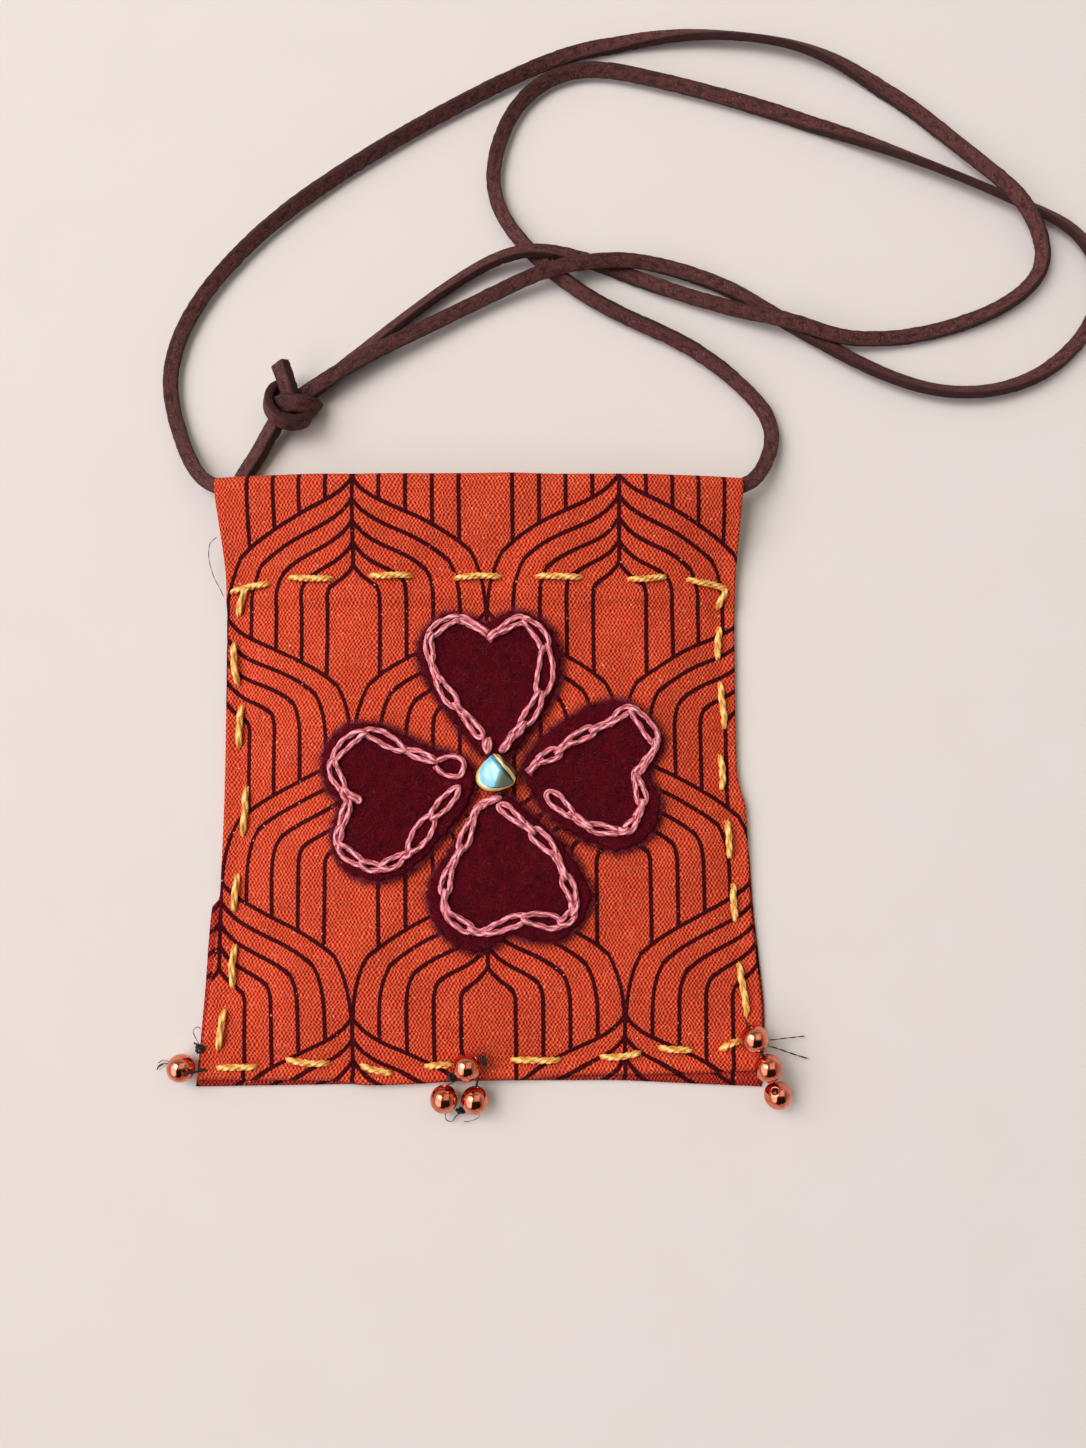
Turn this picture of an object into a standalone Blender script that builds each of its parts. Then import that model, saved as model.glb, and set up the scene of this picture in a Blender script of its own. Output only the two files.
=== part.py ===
# A small beaded medicine bag, lying flat with its front up and its neck cord spread beyond its top.
# Metres, +Z up, +Y towards the top fold. The origin is under the middle of the back panel, on its underside.

import math

import bmesh
import bpy
import numpy as np
from mathutils import Vector

# Bag
bag_height = 0.1118          # top fold to the back panel's lower edge
top_width = 0.0986           # across the top fold
fabric = 0.0005              # one layer of cotton
pocket_depth = 0.0047        # inner height at the middle of the pouch
mouth_end_depth = 0.0019     # inner height at the two ends of the mouth
pocket_power = 3.5           # how flat the pouch is before it falls to its seams
casing_depth = 0.0193        # top fold to the row of stitches that closes the cord's casing
hem_allowance = 0.0030       # cloth below that row on the casing's inner layer
hem_ramp = 0.0030            # where the front layer steps down past the hem
side_seam_inset = 0.0030
bottom_seam_inset = 0.0028
back_top_drop = 0.0055       # the back panel stops this far below the fold
front_bottom_rise = 0.0015   # the front panel stops this far above the back panel's lower edge
clearance = 0.0003           # between pieces that touch

# Neck cord
cord_diameter = 0.0024

# Trim
felt = 0.0012
chain_thickness = 0.0010
chain_width = 0.0022
chain_pitch = 0.0044         # one link of chain stitch
chain_waist = 0.55           # how narrow a chain is between two links
floss_diameter = 0.0013
floss_rise = 0.00025         # how far a stitch stands up at its middle
bead_diameter = 0.0050
bead_hole = 0.0012
bead_thread = 0.0006
bead_steps = 12
nugget_width = 0.0073
nugget_thickness = 0.0042
nugget_corner = 0.07         # how far its three corners stand out, as a share of its width
nugget_turn = 0.9            # radians
nugget_thread_run = (0.0003, 0.0011, 0.0021)  # how far its thread end reaches past its edge
knot_size = (0.0108, 0.0112, 0.0072)
knot_stub = (0.0030, 0.0058)  # width and length of the short cut end
knot_shoulder = 0.0030       # how far the knot's head draws in to the stub
knot_turn = math.radians(14)

# Side edges: share of the height from the bottom, and how far the edge lies inside the top corners
left_edge = ((0.0, -0.0010), (0.10, 0.0002), (0.26, 0.0019), (0.34, 0.0022), (0.50, 0.0024),
             (0.78, 0.0019), (0.86, 0.0015), (1.0, 0.0))
right_edge = ((0.0, -0.0019), (0.11, -0.0024), (0.21, -0.0015), (0.30, -0.0007), (0.44, -0.0002),
              (0.48, 0.0008), (0.53, 0.0014), (0.72, 0.0014), (0.83, 0.0011), (1.0, 0.0))
# How far the back panel shows beyond the front at each side
left_show = ((0.0, 0.0004), (0.14, 0.0010), (0.28, 0.0016), (0.36, 0.0), (1.0, 0.0))
right_show = ((0.0, 0.0003), (0.15, 0.0006), (0.35, 0.0004), (0.45, 0.0), (1.0, 0.0))
# Lower edges: place across, from -1 to 1, and how far the edge is raised
front_bottom = ((-1.0, 0.0), (-0.54, -0.0002), (-0.38, -0.0010), (0.0, -0.0002), (0.16, 0.0),
                (0.34, 0.0008), (0.67, 0.0010), (1.0, 0.0015))
back_bottom = ((-1.0, 0.0), (-0.4, 0.0005), (0.0, 0.0010), (0.27, 0.0011), (0.5, 0.0011),
               (0.72, 0.0006), (1.0, 0.0))

# Running stitches: place across (or share of the way down a side seam) and offset, for both ends.
# A side seam's offset is towards the middle of the bag, and a row's offset is towards the top.
top_row = (
    ((-0.979, -0.0020), (-0.820, -0.0004)), ((-0.743, 0.0002), (-0.565, -0.0001)),
    ((-0.423, 0.0003), (-0.256, 0.0001)), ((-0.097, 0.0000), (0.085, 0.0002)),
    ((0.218, 0.0000), (0.396, 0.0001)), ((0.574, -0.0003), (0.724, 0.0005)),
    ((0.806, 0.0003), (0.967, -0.0014)),
)
left_row = (
    ((0.036, 0.0005), (0.071, -0.0007)), ((0.128, -0.0012), (0.220, -0.0005)),
    ((0.260, 0.0004), (0.353, -0.0005)), ((0.433, 0.0012), (0.537, 0.0008)),
    ((0.615, -0.0001), (0.691, 0.0000)), ((0.760, 0.0006), (0.847, 0.0010)),
    ((0.891, 0.0002), (0.965, -0.0001)),
)
right_row = (
    ((0.036, -0.0009), (0.070, 0.0002)), ((0.094, 0.0000), (0.164, 0.0003)),
    ((0.212, -0.0004), (0.311, -0.0009)), ((0.367, 0.0000), (0.439, 0.0003)),
    ((0.505, 0.0005), (0.582, 0.0002)), ((0.635, 0.0001), (0.712, 0.0002)),
    ((0.796, 0.0001), (0.888, -0.0001)),
)
bottom_row = (
    ((-0.915, -0.0007), (-0.792, -0.0002)), ((-0.692, 0.0007), (-0.536, 0.0002)),
    ((-0.425, 0.0000), (-0.314, -0.0013)), ((-0.196, -0.0003), (-0.112, 0.0000)),
    ((0.111, 0.0007), (0.287, 0.0010)), ((0.431, 0.0012), (0.573, 0.0021)),
    ((0.638, 0.0032), (0.755, 0.0024)), ((0.850, 0.0026), (0.900, 0.0038)),
)

# Felt hearts round the nugget, from the flower's centre: tip to notch on one side, and notch back to tip
# on the other
flower_centre = (0.0036, 0.0004)
heart_outlines = {
    "top": (((0.0004, 0.0039), (0.0028, 0.0047), (0.0070, 0.0092), (0.0104, 0.0145), (0.0115, 0.0187),
             (0.0111, 0.0230), (0.0088, 0.0272), (0.0042, 0.0293), (0.0005, 0.0287), (-0.0020, 0.0274)),
            ((-0.0020, 0.0274), (-0.0049, 0.0285), (-0.0090, 0.0292), (-0.0122, 0.0272), (-0.0142, 0.0233),
             (-0.0140, 0.0197), (-0.0123, 0.0162), (-0.0075, 0.0092), (-0.0036, 0.0052), (0.0004, 0.0039))),
    "left": (((-0.0044, -0.0014), (-0.0048, -0.0044), (-0.0122, -0.0143), (-0.0162, -0.0177),
              (-0.0214, -0.0193), (-0.0270, -0.0173), (-0.0296, -0.0120), (-0.0284, -0.0052)),
             ((-0.0284, -0.0052), (-0.0308, -0.0029), (-0.0315, 0.0032), (-0.0280, 0.0080), (-0.0238, 0.0089),
              (-0.0195, 0.0080), (-0.0124, 0.0047), (-0.0058, 0.0022), (-0.0044, -0.0014))),
    "right": (((0.0046, -0.0006), (0.0053, 0.0016), (0.0082, 0.0063), (0.0138, 0.0103), (0.0176, 0.0123),
               (0.0222, 0.0132), (0.0258, 0.0116), (0.0297, 0.0076), (0.0299, 0.0045), (0.0277, 0.0002)),
              ((0.0277, 0.0002), (0.0293, -0.0040), (0.0294, -0.0072), (0.0274, -0.0113), (0.0224, -0.0138),
               (0.0181, -0.0127), (0.0127, -0.0102), (0.0093, -0.0072), (0.0066, -0.0040),
               (0.0046, -0.0006))),
    "bottom": (((0.0012, -0.0040), (-0.0027, -0.0070), (-0.0079, -0.0136), (-0.0112, -0.0184),
    (-0.0121, -0.0223),
                (-0.0108, -0.0267), (-0.0072, -0.0307), (-0.0035, -0.0318), (0.0002, -0.0307),
                (0.0024, -0.0286)),
               ((0.0024, -0.0286), (0.0063, -0.0297), (0.0109, -0.0298), (0.0146, -0.0274), (0.0169, -0.0226),
                (0.0154, -0.0182), (0.0120, -0.0131), (0.0086, -0.0097), (0.0039, -0.0056),
                (0.0012, -0.0040))),
}
# Where the chain stitch runs on each heart, from one side of its tip round to the other
chain_routes = {
    "top": ((-0.0020, 0.0055), (-0.0047, 0.0088), (-0.0077, 0.0129), (-0.0106, 0.0173), (-0.0123, 0.0226),
            (-0.0113, 0.0262), (-0.0074, 0.0279), (-0.0030, 0.0265), (-0.0014, 0.0250), (0.0011, 0.0263),
            (0.0042, 0.0276), (0.0079, 0.0254), (0.0104, 0.0206), (0.0102, 0.0173), (0.0070, 0.0131),
            (0.0037, 0.0080), (0.0015, 0.0056)),
    "left": ((-0.0076, -0.0038), (-0.0118, -0.0079), (-0.0144, -0.0104), (-0.0174, -0.0149),
    (-0.0200, -0.0163),
             (-0.0247, -0.0150), (-0.0276, -0.0117), (-0.0268, -0.0053), (-0.0287, -0.0006),
             (-0.0272, 0.0046),
             (-0.0252, 0.0070), (-0.0193, 0.0055), (-0.0135, 0.0033), (-0.0106, 0.0026), (-0.0078, 0.0026),
             (-0.0062, 0.0012), (-0.0072, -0.0003), (-0.0092, -0.0005)),
    "right": ((0.0062, 0.0003), (0.0104, 0.0035), (0.0138, 0.0057), (0.0194, 0.0084), (0.0236, 0.0112),
              (0.0282, 0.0082), (0.0278, 0.0046), (0.0253, -0.0006), (0.0264, -0.0044), (0.0249, -0.0092),
              (0.0214, -0.0103), (0.0159, -0.0088), (0.0129, -0.0059), (0.0091, -0.0031)),
    "bottom": ((-0.0022, -0.0055), (-0.0044, -0.0092), (-0.0071, -0.0150), (-0.0090, -0.0205),
    (-0.0080, -0.0250),
               (-0.0045, -0.0273), (-0.0006, -0.0283), (0.0020, -0.0264), (0.0075, -0.0259),
               (0.0120, -0.0263),
               (0.0137, -0.0223), (0.0118, -0.0170), (0.0093, -0.0122), (0.0045, -0.0092), (0.0015, -0.0065)),
}

# Beads, in bead diameters from the bag's lower corner (left, right) or the middle of its lower edge, with the
# third number in seam thicknesses above the table. After each centre comes the hole's direction.
bead_places = {
    "left": (
        ((-0.52, 0.72, 0.0), (1.0, -0.05, -0.1)),
    ),
    "centre": (
        ((-0.41, 0.8, 1.0), (-0.6, -0.75, -0.2)),
        ((-1.23, -0.36, 0.0), (0.05, -1.0, 0.0)),
        ((-0.13, -0.4, 0.0), (0.1, 1.0, 0.0)),
    ),
    "right": (
        ((-0.3, 1.8, 1.06), (0.42, -0.9, 0.0)),
        ((0.18, 0.78, 1.0), (0.4, -0.89, -0.12)),
        ((0.56, -0.22, 0.06), (0.37, -0.9, -0.24)),
    ),
}
# Thread before the first bead, between two beads and after the last, measured the same way
thread_bends = {
    "left": (
        ((-1.34, 0.88, 0.25), (-1.18, 0.76, 1.19)),
        ((0.1, 0.66, 1.12), (0.34, 0.62, 1.06)),
    ),
    "centre": (
        ((0.27, 1.14, 1.31), (0.07, 1.26, 1.94)),
        ((-1.09, 0.18, 1.81),),
        ((-1.15, -1.02, 0.81), (-0.93, -1.24, 0.13), (-0.49, -1.22, 0.13), (-0.27, -1.0, 0.81)),
        ((-0.03, 0.22, 1.25), (-0.01, 0.42, 1.12)),
    ),
    "right": (
        ((-0.6, 2.54, 1.12), (-0.56, 2.38, 1.94)),
        (),
        (),
        ((0.8, -0.84, 0.81),),
    ),
}

# Neck cord, from the casing's left end to the knot, and from its right end to the knot: x and y in metres,
# and the height of the cord's middle in cord diameters
left_strand = ((-0.0500, 0.0539, 1.75), (-0.0524, 0.0559, 1.46), (-0.0570, 0.0640, 0.67),
               (-0.0599, 0.0772, 0.52), (-0.0557, 0.0904, 0.52), (-0.0451, 0.1039, 0.52),
               (-0.0301, 0.1165, 0.52), (-0.0089, 0.1302, 0.52), (0.0142, 0.1423, 0.52),
               (0.0309, 0.1466, 0.52), (0.0478, 0.1474, 0.52), (0.0660, 0.1440, 0.52),
               (0.0830, 0.1336, 0.52), (0.0966, 0.1210, 1.08), (0.1044, 0.1126, 1.67),
               (0.1088, 0.1045, 1.13), (0.1089, 0.0980, 0.58), (0.1001, 0.0906, 0.52),
               (0.0850, 0.0856, 0.52), (0.0700, 0.0844, 1.13), (0.0600, 0.0874, 1.67),
               (0.0497, 0.0900, 1.04), (0.0322, 0.0961, 0.52), (0.0233, 0.0998, 0.58),
               (0.0099, 0.1018, 1.67), (-0.0010, 0.0985, 0.88), (-0.0140, 0.0893, 0.52),
               (-0.0240, 0.0819, 0.63), (-0.0329, 0.0758, 1.13))
right_strand = ((0.0500, 0.0539, 1.75), (0.0525, 0.0562, 1.46), (0.0563, 0.0652, 0.67),
                (0.0531, 0.0722, 0.52), (0.0407, 0.0826, 0.52), (0.0232, 0.0914, 0.52),
                (0.0105, 0.1012, 0.52), (0.0030, 0.1120, 0.52), (0.0026, 0.1223, 0.52),
                (0.0080, 0.1340, 0.52), (0.0190, 0.1401, 0.52), (0.0350, 0.1378, 0.52),
                (0.0627, 0.1298, 0.52), (0.0870, 0.1204, 0.52), (0.1044, 0.1126, 0.52),
                (0.1160, 0.1063, 0.52), (0.1210, 0.0955, 0.52), (0.1150, 0.0835, 0.52),
                (0.1040, 0.0756, 0.52), (0.0900, 0.0738, 0.52), (0.0763, 0.0780, 0.52),
                (0.0600, 0.0874, 0.52), (0.0477, 0.0951, 0.67), (0.0322, 0.0996, 1.21),
                (0.0220, 0.0993, 1.79), (0.0125, 0.0975, 1.71), (0.0017, 0.0929, 0.92),
                (-0.0100, 0.0859, 0.52), (-0.0215, 0.0788, 0.63), (-0.0314, 0.0732, 1.13))
tail_route = ((-0.0387, 0.0656, 1.13), (-0.0411, 0.0622, 0.83), (-0.0438, 0.0588, 0.56),
              (-0.0450, 0.0558, 0.52), (-0.0452, 0.0528, 0.52), (-0.0451, 0.0510, 0.52))
knot_centre = (-0.0363, 0.0700, 0.0033)
long_stretch = 0.020         # a stretch of cord longer than this gets one more point,
sharp_turn = math.radians(60)  # and so does one between two turns that add up to more than this

top_y = bag_height / 2
back_low_y = -bag_height / 2
front_low_y = back_low_y + front_bottom_rise
casing_height = cord_diameter + 2 * clearance
fold_radius = (casing_height + fabric) / 2          # of the layer's middle
fold_y = top_y - fold_radius - fabric / 2
stitch_y = top_y - casing_depth
hem_y = stitch_y - hem_allowance
seam_low_y = front_low_y + bottom_seam_inset
half_width = top_width / 2
seam_top = 2 * (fabric + clearance)                 # both layers at a side seam
seam_share = 1 - side_seam_inset / half_width
bottom_fade = 0.030                                 # the lower edge's waves die out over this height


def smooth_path(route, steps):
    """Points on a Catmull-Rom curve through a route, with the given number of steps in each stretch."""
    points = np.array(route, float)
    ends = np.vstack([2 * points[0] - points[1], points, 2 * points[-1] - points[-2]])
    share = np.linspace(0, 1, steps, endpoint=False)[:, None]
    pieces = []
    for a, b, c, d in zip(ends[:-3], ends[1:-2], ends[2:-1], ends[3:]):
        pieces.append(0.5 * (2 * b + (c - a) * share + (2 * a - 5 * b + 4 * c - d) * share**2
                             + (3 * b - a - 3 * c + d) * share**3))
    return np.vstack(pieces + [points[-1:]])


def read_level(pairs, at):
    """The height of a smooth line through (place, height) pairs."""
    line = smooth_path(pairs, 8)
    return np.interp(at, line[:, 0], line[:, 1])


def eased(share):
    share = np.clip(share, 0, 1)
    return share * share * (3 - 2 * share)


def side_edges(y, show=False):
    """The x of the left and the right edge at a height, of the back panel where show is set."""
    up = np.clip((y - back_low_y) / bag_height, 0, 1)
    left = -half_width + read_level(left_edge, up)
    right = half_width - read_level(right_edge, up)
    if show:
        left = left - read_level(left_show, up)
        right = right + read_level(right_show, up)
    return left, right


def place_across(y, across):
    left, right = side_edges(y)
    return (left + right) / 2 + across * (right - left) / 2


def share_across(x, y):
    left, right = side_edges(y)
    return (x - (left + right) / 2) / ((right - left) / 2)


def pocket_height(across, y):
    """The inner height of the pouch, from the back panel's face to the layer above it."""
    lifted = eased((y - stitch_y) / (fold_y - stitch_y))
    base = clearance + (mouth_end_depth - clearance) * lifted
    reach = seam_share + (1 - seam_share) * lifted
    sideways = np.clip(1 - np.abs(across / reach) ** pocket_power, 0, 1)
    low = np.clip(y / seam_low_y, 0, 1)
    return base + (pocket_depth - base) * sideways * (1 - low**pocket_power)


def casing_lift(y):
    """How far the front layer lies above the hem layer's place, step past the hem and casing together."""
    step = (fabric + clearance) * eased((y - hem_y + hem_ramp) / hem_ramp)
    return step + (casing_height - clearance) * eased((y - stitch_y) / (fold_y - stitch_y))


def front_face(x, y):
    """The height of the front panel's outer face."""
    return 2 * fabric + pocket_height(share_across(x, y), y) + casing_lift(y)


def make_material(name, colour, roughness, metallic=0.0):
    material = bpy.data.materials.new(name)
    material.use_nodes = True
    shader = material.node_tree.nodes["Principled BSDF"]
    shader.inputs["Base Color"].default_value = (*colour, 1.0)
    shader.inputs["Roughness"].default_value = roughness
    shader.inputs["Metallic"].default_value = metallic
    return material


def add_object(name, data, material):
    data.materials.append(material)
    piece = bpy.data.objects.new(name, data)
    parts.objects.link(piece)
    return piece


def add_grid(name, points, material, closed_ring=False, thickness=fabric):
    """An open sheet through a grid of points, rows by columns, given its thickness by Solidify."""
    rows, columns = points.shape[:2]
    mesh = bpy.data.meshes.new(name)
    sheet = bmesh.new()
    corners = [sheet.verts.new(point) for point in points.reshape(-1, 3)]
    for row in range(rows - 1):
        for column in range(columns - (0 if closed_ring else 1)):
            after = (column + 1) % columns
            ring = (corners[row * columns + column], corners[row * columns + after],
                    corners[(row + 1) * columns + after], corners[(row + 1) * columns + column])
            sheet.faces.new(ring)
    if closed_ring:
        sheet.faces.new(corners[-columns:])
    bmesh.ops.recalc_face_normals(sheet, faces=sheet.faces)
    sheet.to_mesh(mesh)
    sheet.free()
    mesh.shade_smooth()
    piece = add_object(name, mesh, material)
    solid = piece.modifiers.new("cloth thickness", "SOLIDIFY")
    solid.thickness = thickness
    solid.offset = 0
    return piece


def add_tube(name, points, radius, material, radii=None, flat_width=0.0, resolution=2):
    """A tube along points, or a flat ribbon with round edges where flat_width is given."""
    line = bpy.data.curves.new(name, "CURVE")
    line.dimensions = "3D"
    line.twist_mode = "Z_UP"
    line.bevel_depth = radius
    line.bevel_resolution = resolution
    line.extrude = flat_width / 2
    line.use_fill_caps = True
    spline = line.splines.new("POLY")
    spline.points.add(len(points) - 1)
    for index, point in enumerate(points):
        spline.points[index].co = (*point, 1.0)
        spline.points[index].tilt = math.pi / 2 if flat_width else 0.0
        spline.points[index].radius = 1.0 if radii is None else radii[index]
    return add_object(name, line, material)


def make_front_panel():
    """One piece of cloth: up the front, over the top fold round the cord, and down to the hem inside."""
    pouch = np.concatenate([[front_low_y], np.linspace(seam_low_y, -0.030, 4), [-0.020, -0.008, 0.006, 0.020],
                            np.linspace(hem_y - hem_ramp, hem_y, 3)])
    casing = np.linspace(stitch_y, fold_y, 6)
    turn = np.linspace(0, math.pi, 7)[1:-1]
    rows_y = np.concatenate([pouch, casing, fold_y + fold_radius * np.sin(turn), casing[::-1], [hem_y]])
    lifts = np.concatenate([casing_lift(pouch), casing_lift(casing), fold_radius * (1 + np.cos(turn)),
                            np.zeros(len(casing) + 1)])
    half = np.array([0.0, 0.2, 0.38, 0.53, 0.66, 0.78, 0.87, seam_share])
    across = np.concatenate([[-1.0], -half[:0:-1], half, [1.0]])
    y, s = np.meshgrid(rows_y, across, indexing="ij")
    wave = read_level(front_bottom, s) * eased(1 - (y - front_low_y) / bottom_fade)
    x = place_across(y, s)
    z = 1.5 * fabric + pocket_height(s, y) + lifts[:, None]
    return add_grid("front_panel", np.stack([x, y + wave, z], axis=2), cotton)


def make_back_panel():
    """A flat panel that shows a little beyond the front at its lower sides and its lower edge."""
    top = top_y - back_top_drop
    heights = np.linspace(back_low_y, top, 13)
    left, right = side_edges(heights, show=True)
    across = np.linspace(-1, 1, 13)[1:-1]
    low = [(place_across(back_low_y, s), back_low_y + read_level(back_bottom, s)) for s in across]
    outline = list(zip(right, heights)) + list(zip(left, heights))[::-1] + low
    line = bpy.data.curves.new("back_panel", "CURVE")
    line.dimensions = "2D"
    line.fill_mode = "BOTH"
    line.extrude = fabric / 2
    spline = line.splines.new("POLY")
    spline.use_cyclic_u = True
    spline.points.add(len(outline) - 1)
    for point, (x, y) in zip(spline.points, outline):
        point.co = (x, y, 0.0, 1.0)
    panel = add_object("back_panel", line, cotton)
    panel.location.z = fabric / 2
    return panel


def add_stitch(name, start, end):
    """One visible stitch: its ends dip to the cloth and its middle stands a little proud."""
    share = np.linspace(0, 1, 5)
    x = start[0] + (end[0] - start[0]) * share
    y = start[1] + (end[1] - start[1]) * share
    z = front_face(x, y) + clearance + floss_diameter / 2 + floss_rise * np.sin(math.pi * share)
    add_tube(name, np.stack([x, y, z], axis=1), floss_diameter / 2, yellow_floss, (0.6, 1.0, 1.0, 1.0, 0.6),
             resolution=1)


def make_running_stitches():
    seam_length = stitch_y - seam_low_y
    for name, row, line_y in (("top", top_row, stitch_y), ("bottom", bottom_row, seam_low_y)):
        for number, ends in enumerate(row, 1):
            places = [(place_across(line_y, across), line_y + offset) for across, offset in ends]
            add_stitch(f"{name}_stitch_{number}", *places)
    for name, row, side, inward in (("left", left_row, 0, 1), ("right", right_row, 1, -1)):
        for number, ends in enumerate(row, 1):
            places = []
            for share, offset in ends:
                y = stitch_y - share * seam_length
                places.append((side_edges(y)[side] + inward * (side_seam_inset + offset), y))
            add_stitch(f"{name}_stitch_{number}", *places)


def on_flower(points, height):
    """Points from the flower's centre, laid at a height over the front panel's face."""
    x = points[:, 0] + flower_centre[0]
    y = points[:, 1] + flower_centre[1]
    return np.stack([x, y, front_face(x, y) + height], axis=1)


def make_heart(name):
    """A felt heart: rings from its outline towards its middle, closed by one face, with Solidify."""
    sides = [smooth_path(side, 2)[:-1] for side in heart_outlines[name]]
    outline = np.vstack(sides)
    middle = outline.mean(axis=0)
    rings = [middle + (outline - middle) * share for share in (1.0, 0.72, 0.36)]
    height = clearance + felt / 2
    grid = np.stack([on_flower(ring, height) for ring in rings])
    add_grid(f"heart_{name}", grid, felt_cloth, closed_ring=True, thickness=felt)


def make_heart_chain(name):
    """The outer form of a row of chain stitch: a ribbon that swells at each link."""
    line = smooth_path(chain_routes[name], 12)
    run = np.concatenate([[0], np.cumsum(np.linalg.norm(np.diff(line, axis=0), axis=1))])
    links = round(run[-1] / chain_pitch)
    at = np.linspace(0, run[-1], 2 * links + 1)
    points = np.stack([np.interp(at, run, line[:, 0]), np.interp(at, run, line[:, 1])], axis=1)
    radii = [1.0 if index % 2 else chain_waist for index in range(len(points))]
    height = 2 * clearance + felt + chain_thickness / 2
    add_tube(f"heart_chain_{name}", on_flower(points, height), chain_thickness / 2, pink_floss, radii,
             flat_width=chain_width - chain_thickness, resolution=0)


def make_bead_mesh():
    """The section of a round bead with a straight hole, turned by Screw about its own Z."""
    radius = bead_diameter / 2
    rim = math.acos(bead_hole / 2 / radius)
    angles = np.linspace(rim, -rim, 8)
    mesh = bpy.data.meshes.new("copper_bead")
    mesh.from_pydata([(radius * math.cos(a), 0.0, radius * math.sin(a)) for a in angles],
                     [(i, (i + 1) % len(angles)) for i in range(len(angles))], [])
    mesh.materials.append(copper)
    return mesh


def add_bead(name, mesh, centre, axis):
    bead = bpy.data.objects.new(name, mesh)
    parts.objects.link(bead)
    turn = bead.modifiers.new("turn", "SCREW")
    turn.steps = bead_steps
    turn.render_steps = bead_steps
    turn.use_merge_vertices = True
    turn.merge_threshold = 0.0001
    bead.location = centre
    bead.rotation_mode = "QUATERNION"
    bead.rotation_quaternion = Vector(axis).to_track_quat("Z", "Y")


def hang_place(group, place, radius):
    """The centre of a bead or thread placed from a lower corner or from the middle of the lower edge."""
    left, right = side_edges(back_low_y)
    corner = {"left": left, "centre": (left + right) / 2, "right": right}[group]
    return Vector((corner + place[0] * bead_diameter, back_low_y + place[1] * bead_diameter,
                   radius + place[2] * seam_top))


def make_beads():
    """Copper beads, each on its thread. The thread runs straight through every hole."""
    mesh = make_bead_mesh()
    for group, beads in bead_places.items():
        bends = [[hang_place(group, place, bead_thread / 2) for place in bend]
                 for bend in thread_bends[group]]
        thread = bends[0]
        for number, (place, axis) in enumerate(beads, 1):
            name = f"copper_bead_{group}" + (f"_{number}" if len(beads) > 1 else "")
            centre = hang_place(group, place, bead_diameter / 2)
            add_bead(name, mesh, centre, axis)
            reach = Vector(axis).normalized() * (bead_diameter / 2)
            thread += [centre - reach, centre + reach]
            thread += bends[number]
        add_tube(f"bead_thread_{group}", thread, bead_thread / 2, black_thread, resolution=1)


def make_nugget():
    """A rounded three-cornered nugget: a ball drawn out towards three corners and flattened."""
    ball = bmesh.new()
    bmesh.ops.create_uvsphere(ball, u_segments=18, v_segments=9, radius=0.5)
    for vertex in ball.verts:
        angle = math.atan2(vertex.co.y, vertex.co.x)
        corner = 1 + nugget_corner * math.cos(3 * angle + nugget_turn)
        vertex.co.x *= nugget_width * corner
        vertex.co.y *= nugget_width * corner
        vertex.co.z *= nugget_thickness
    mesh = bpy.data.meshes.new("nugget_bead")
    ball.to_mesh(mesh)
    ball.free()
    mesh.shade_smooth()
    nugget = add_object("nugget_bead", mesh, turquoise)
    x, y = flower_centre
    nugget.location = (x, y, front_face(x, y) + clearance + nugget_thickness / 2)
    edge = nugget_width / 2 + clearance + bead_thread / 2
    run = np.array([(clearance, edge + reach) for reach in nugget_thread_run])
    lifts = np.array([nugget_thickness / 2, nugget_thickness / 2, felt + 2 * clearance + bead_thread / 2])
    add_tube("nugget_thread", on_flower(run, lifts), bead_thread / 2, black_thread, resolution=1)


def cord_points(route):
    """The tube's points: the route's own, and the middle of each long or sharply bent stretch."""
    fine = smooth_path(route, 2)
    chords = np.diff(route, axis=0)
    lengths = np.linalg.norm(chords, axis=1)
    ways = chords / lengths[:, None]
    turns = np.concatenate([[0.0], np.arccos(np.clip((ways[:-1] * ways[1:]).sum(axis=1), -1, 1)), [0.0]])
    points = []
    for index, length in enumerate(lengths):
        points.append(fine[2 * index])
        if length > long_stretch or turns[index] + turns[index + 1] > sharp_turn:
            points.append(fine[2 * index + 1])
    points.append(fine[-1])
    return points


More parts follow.
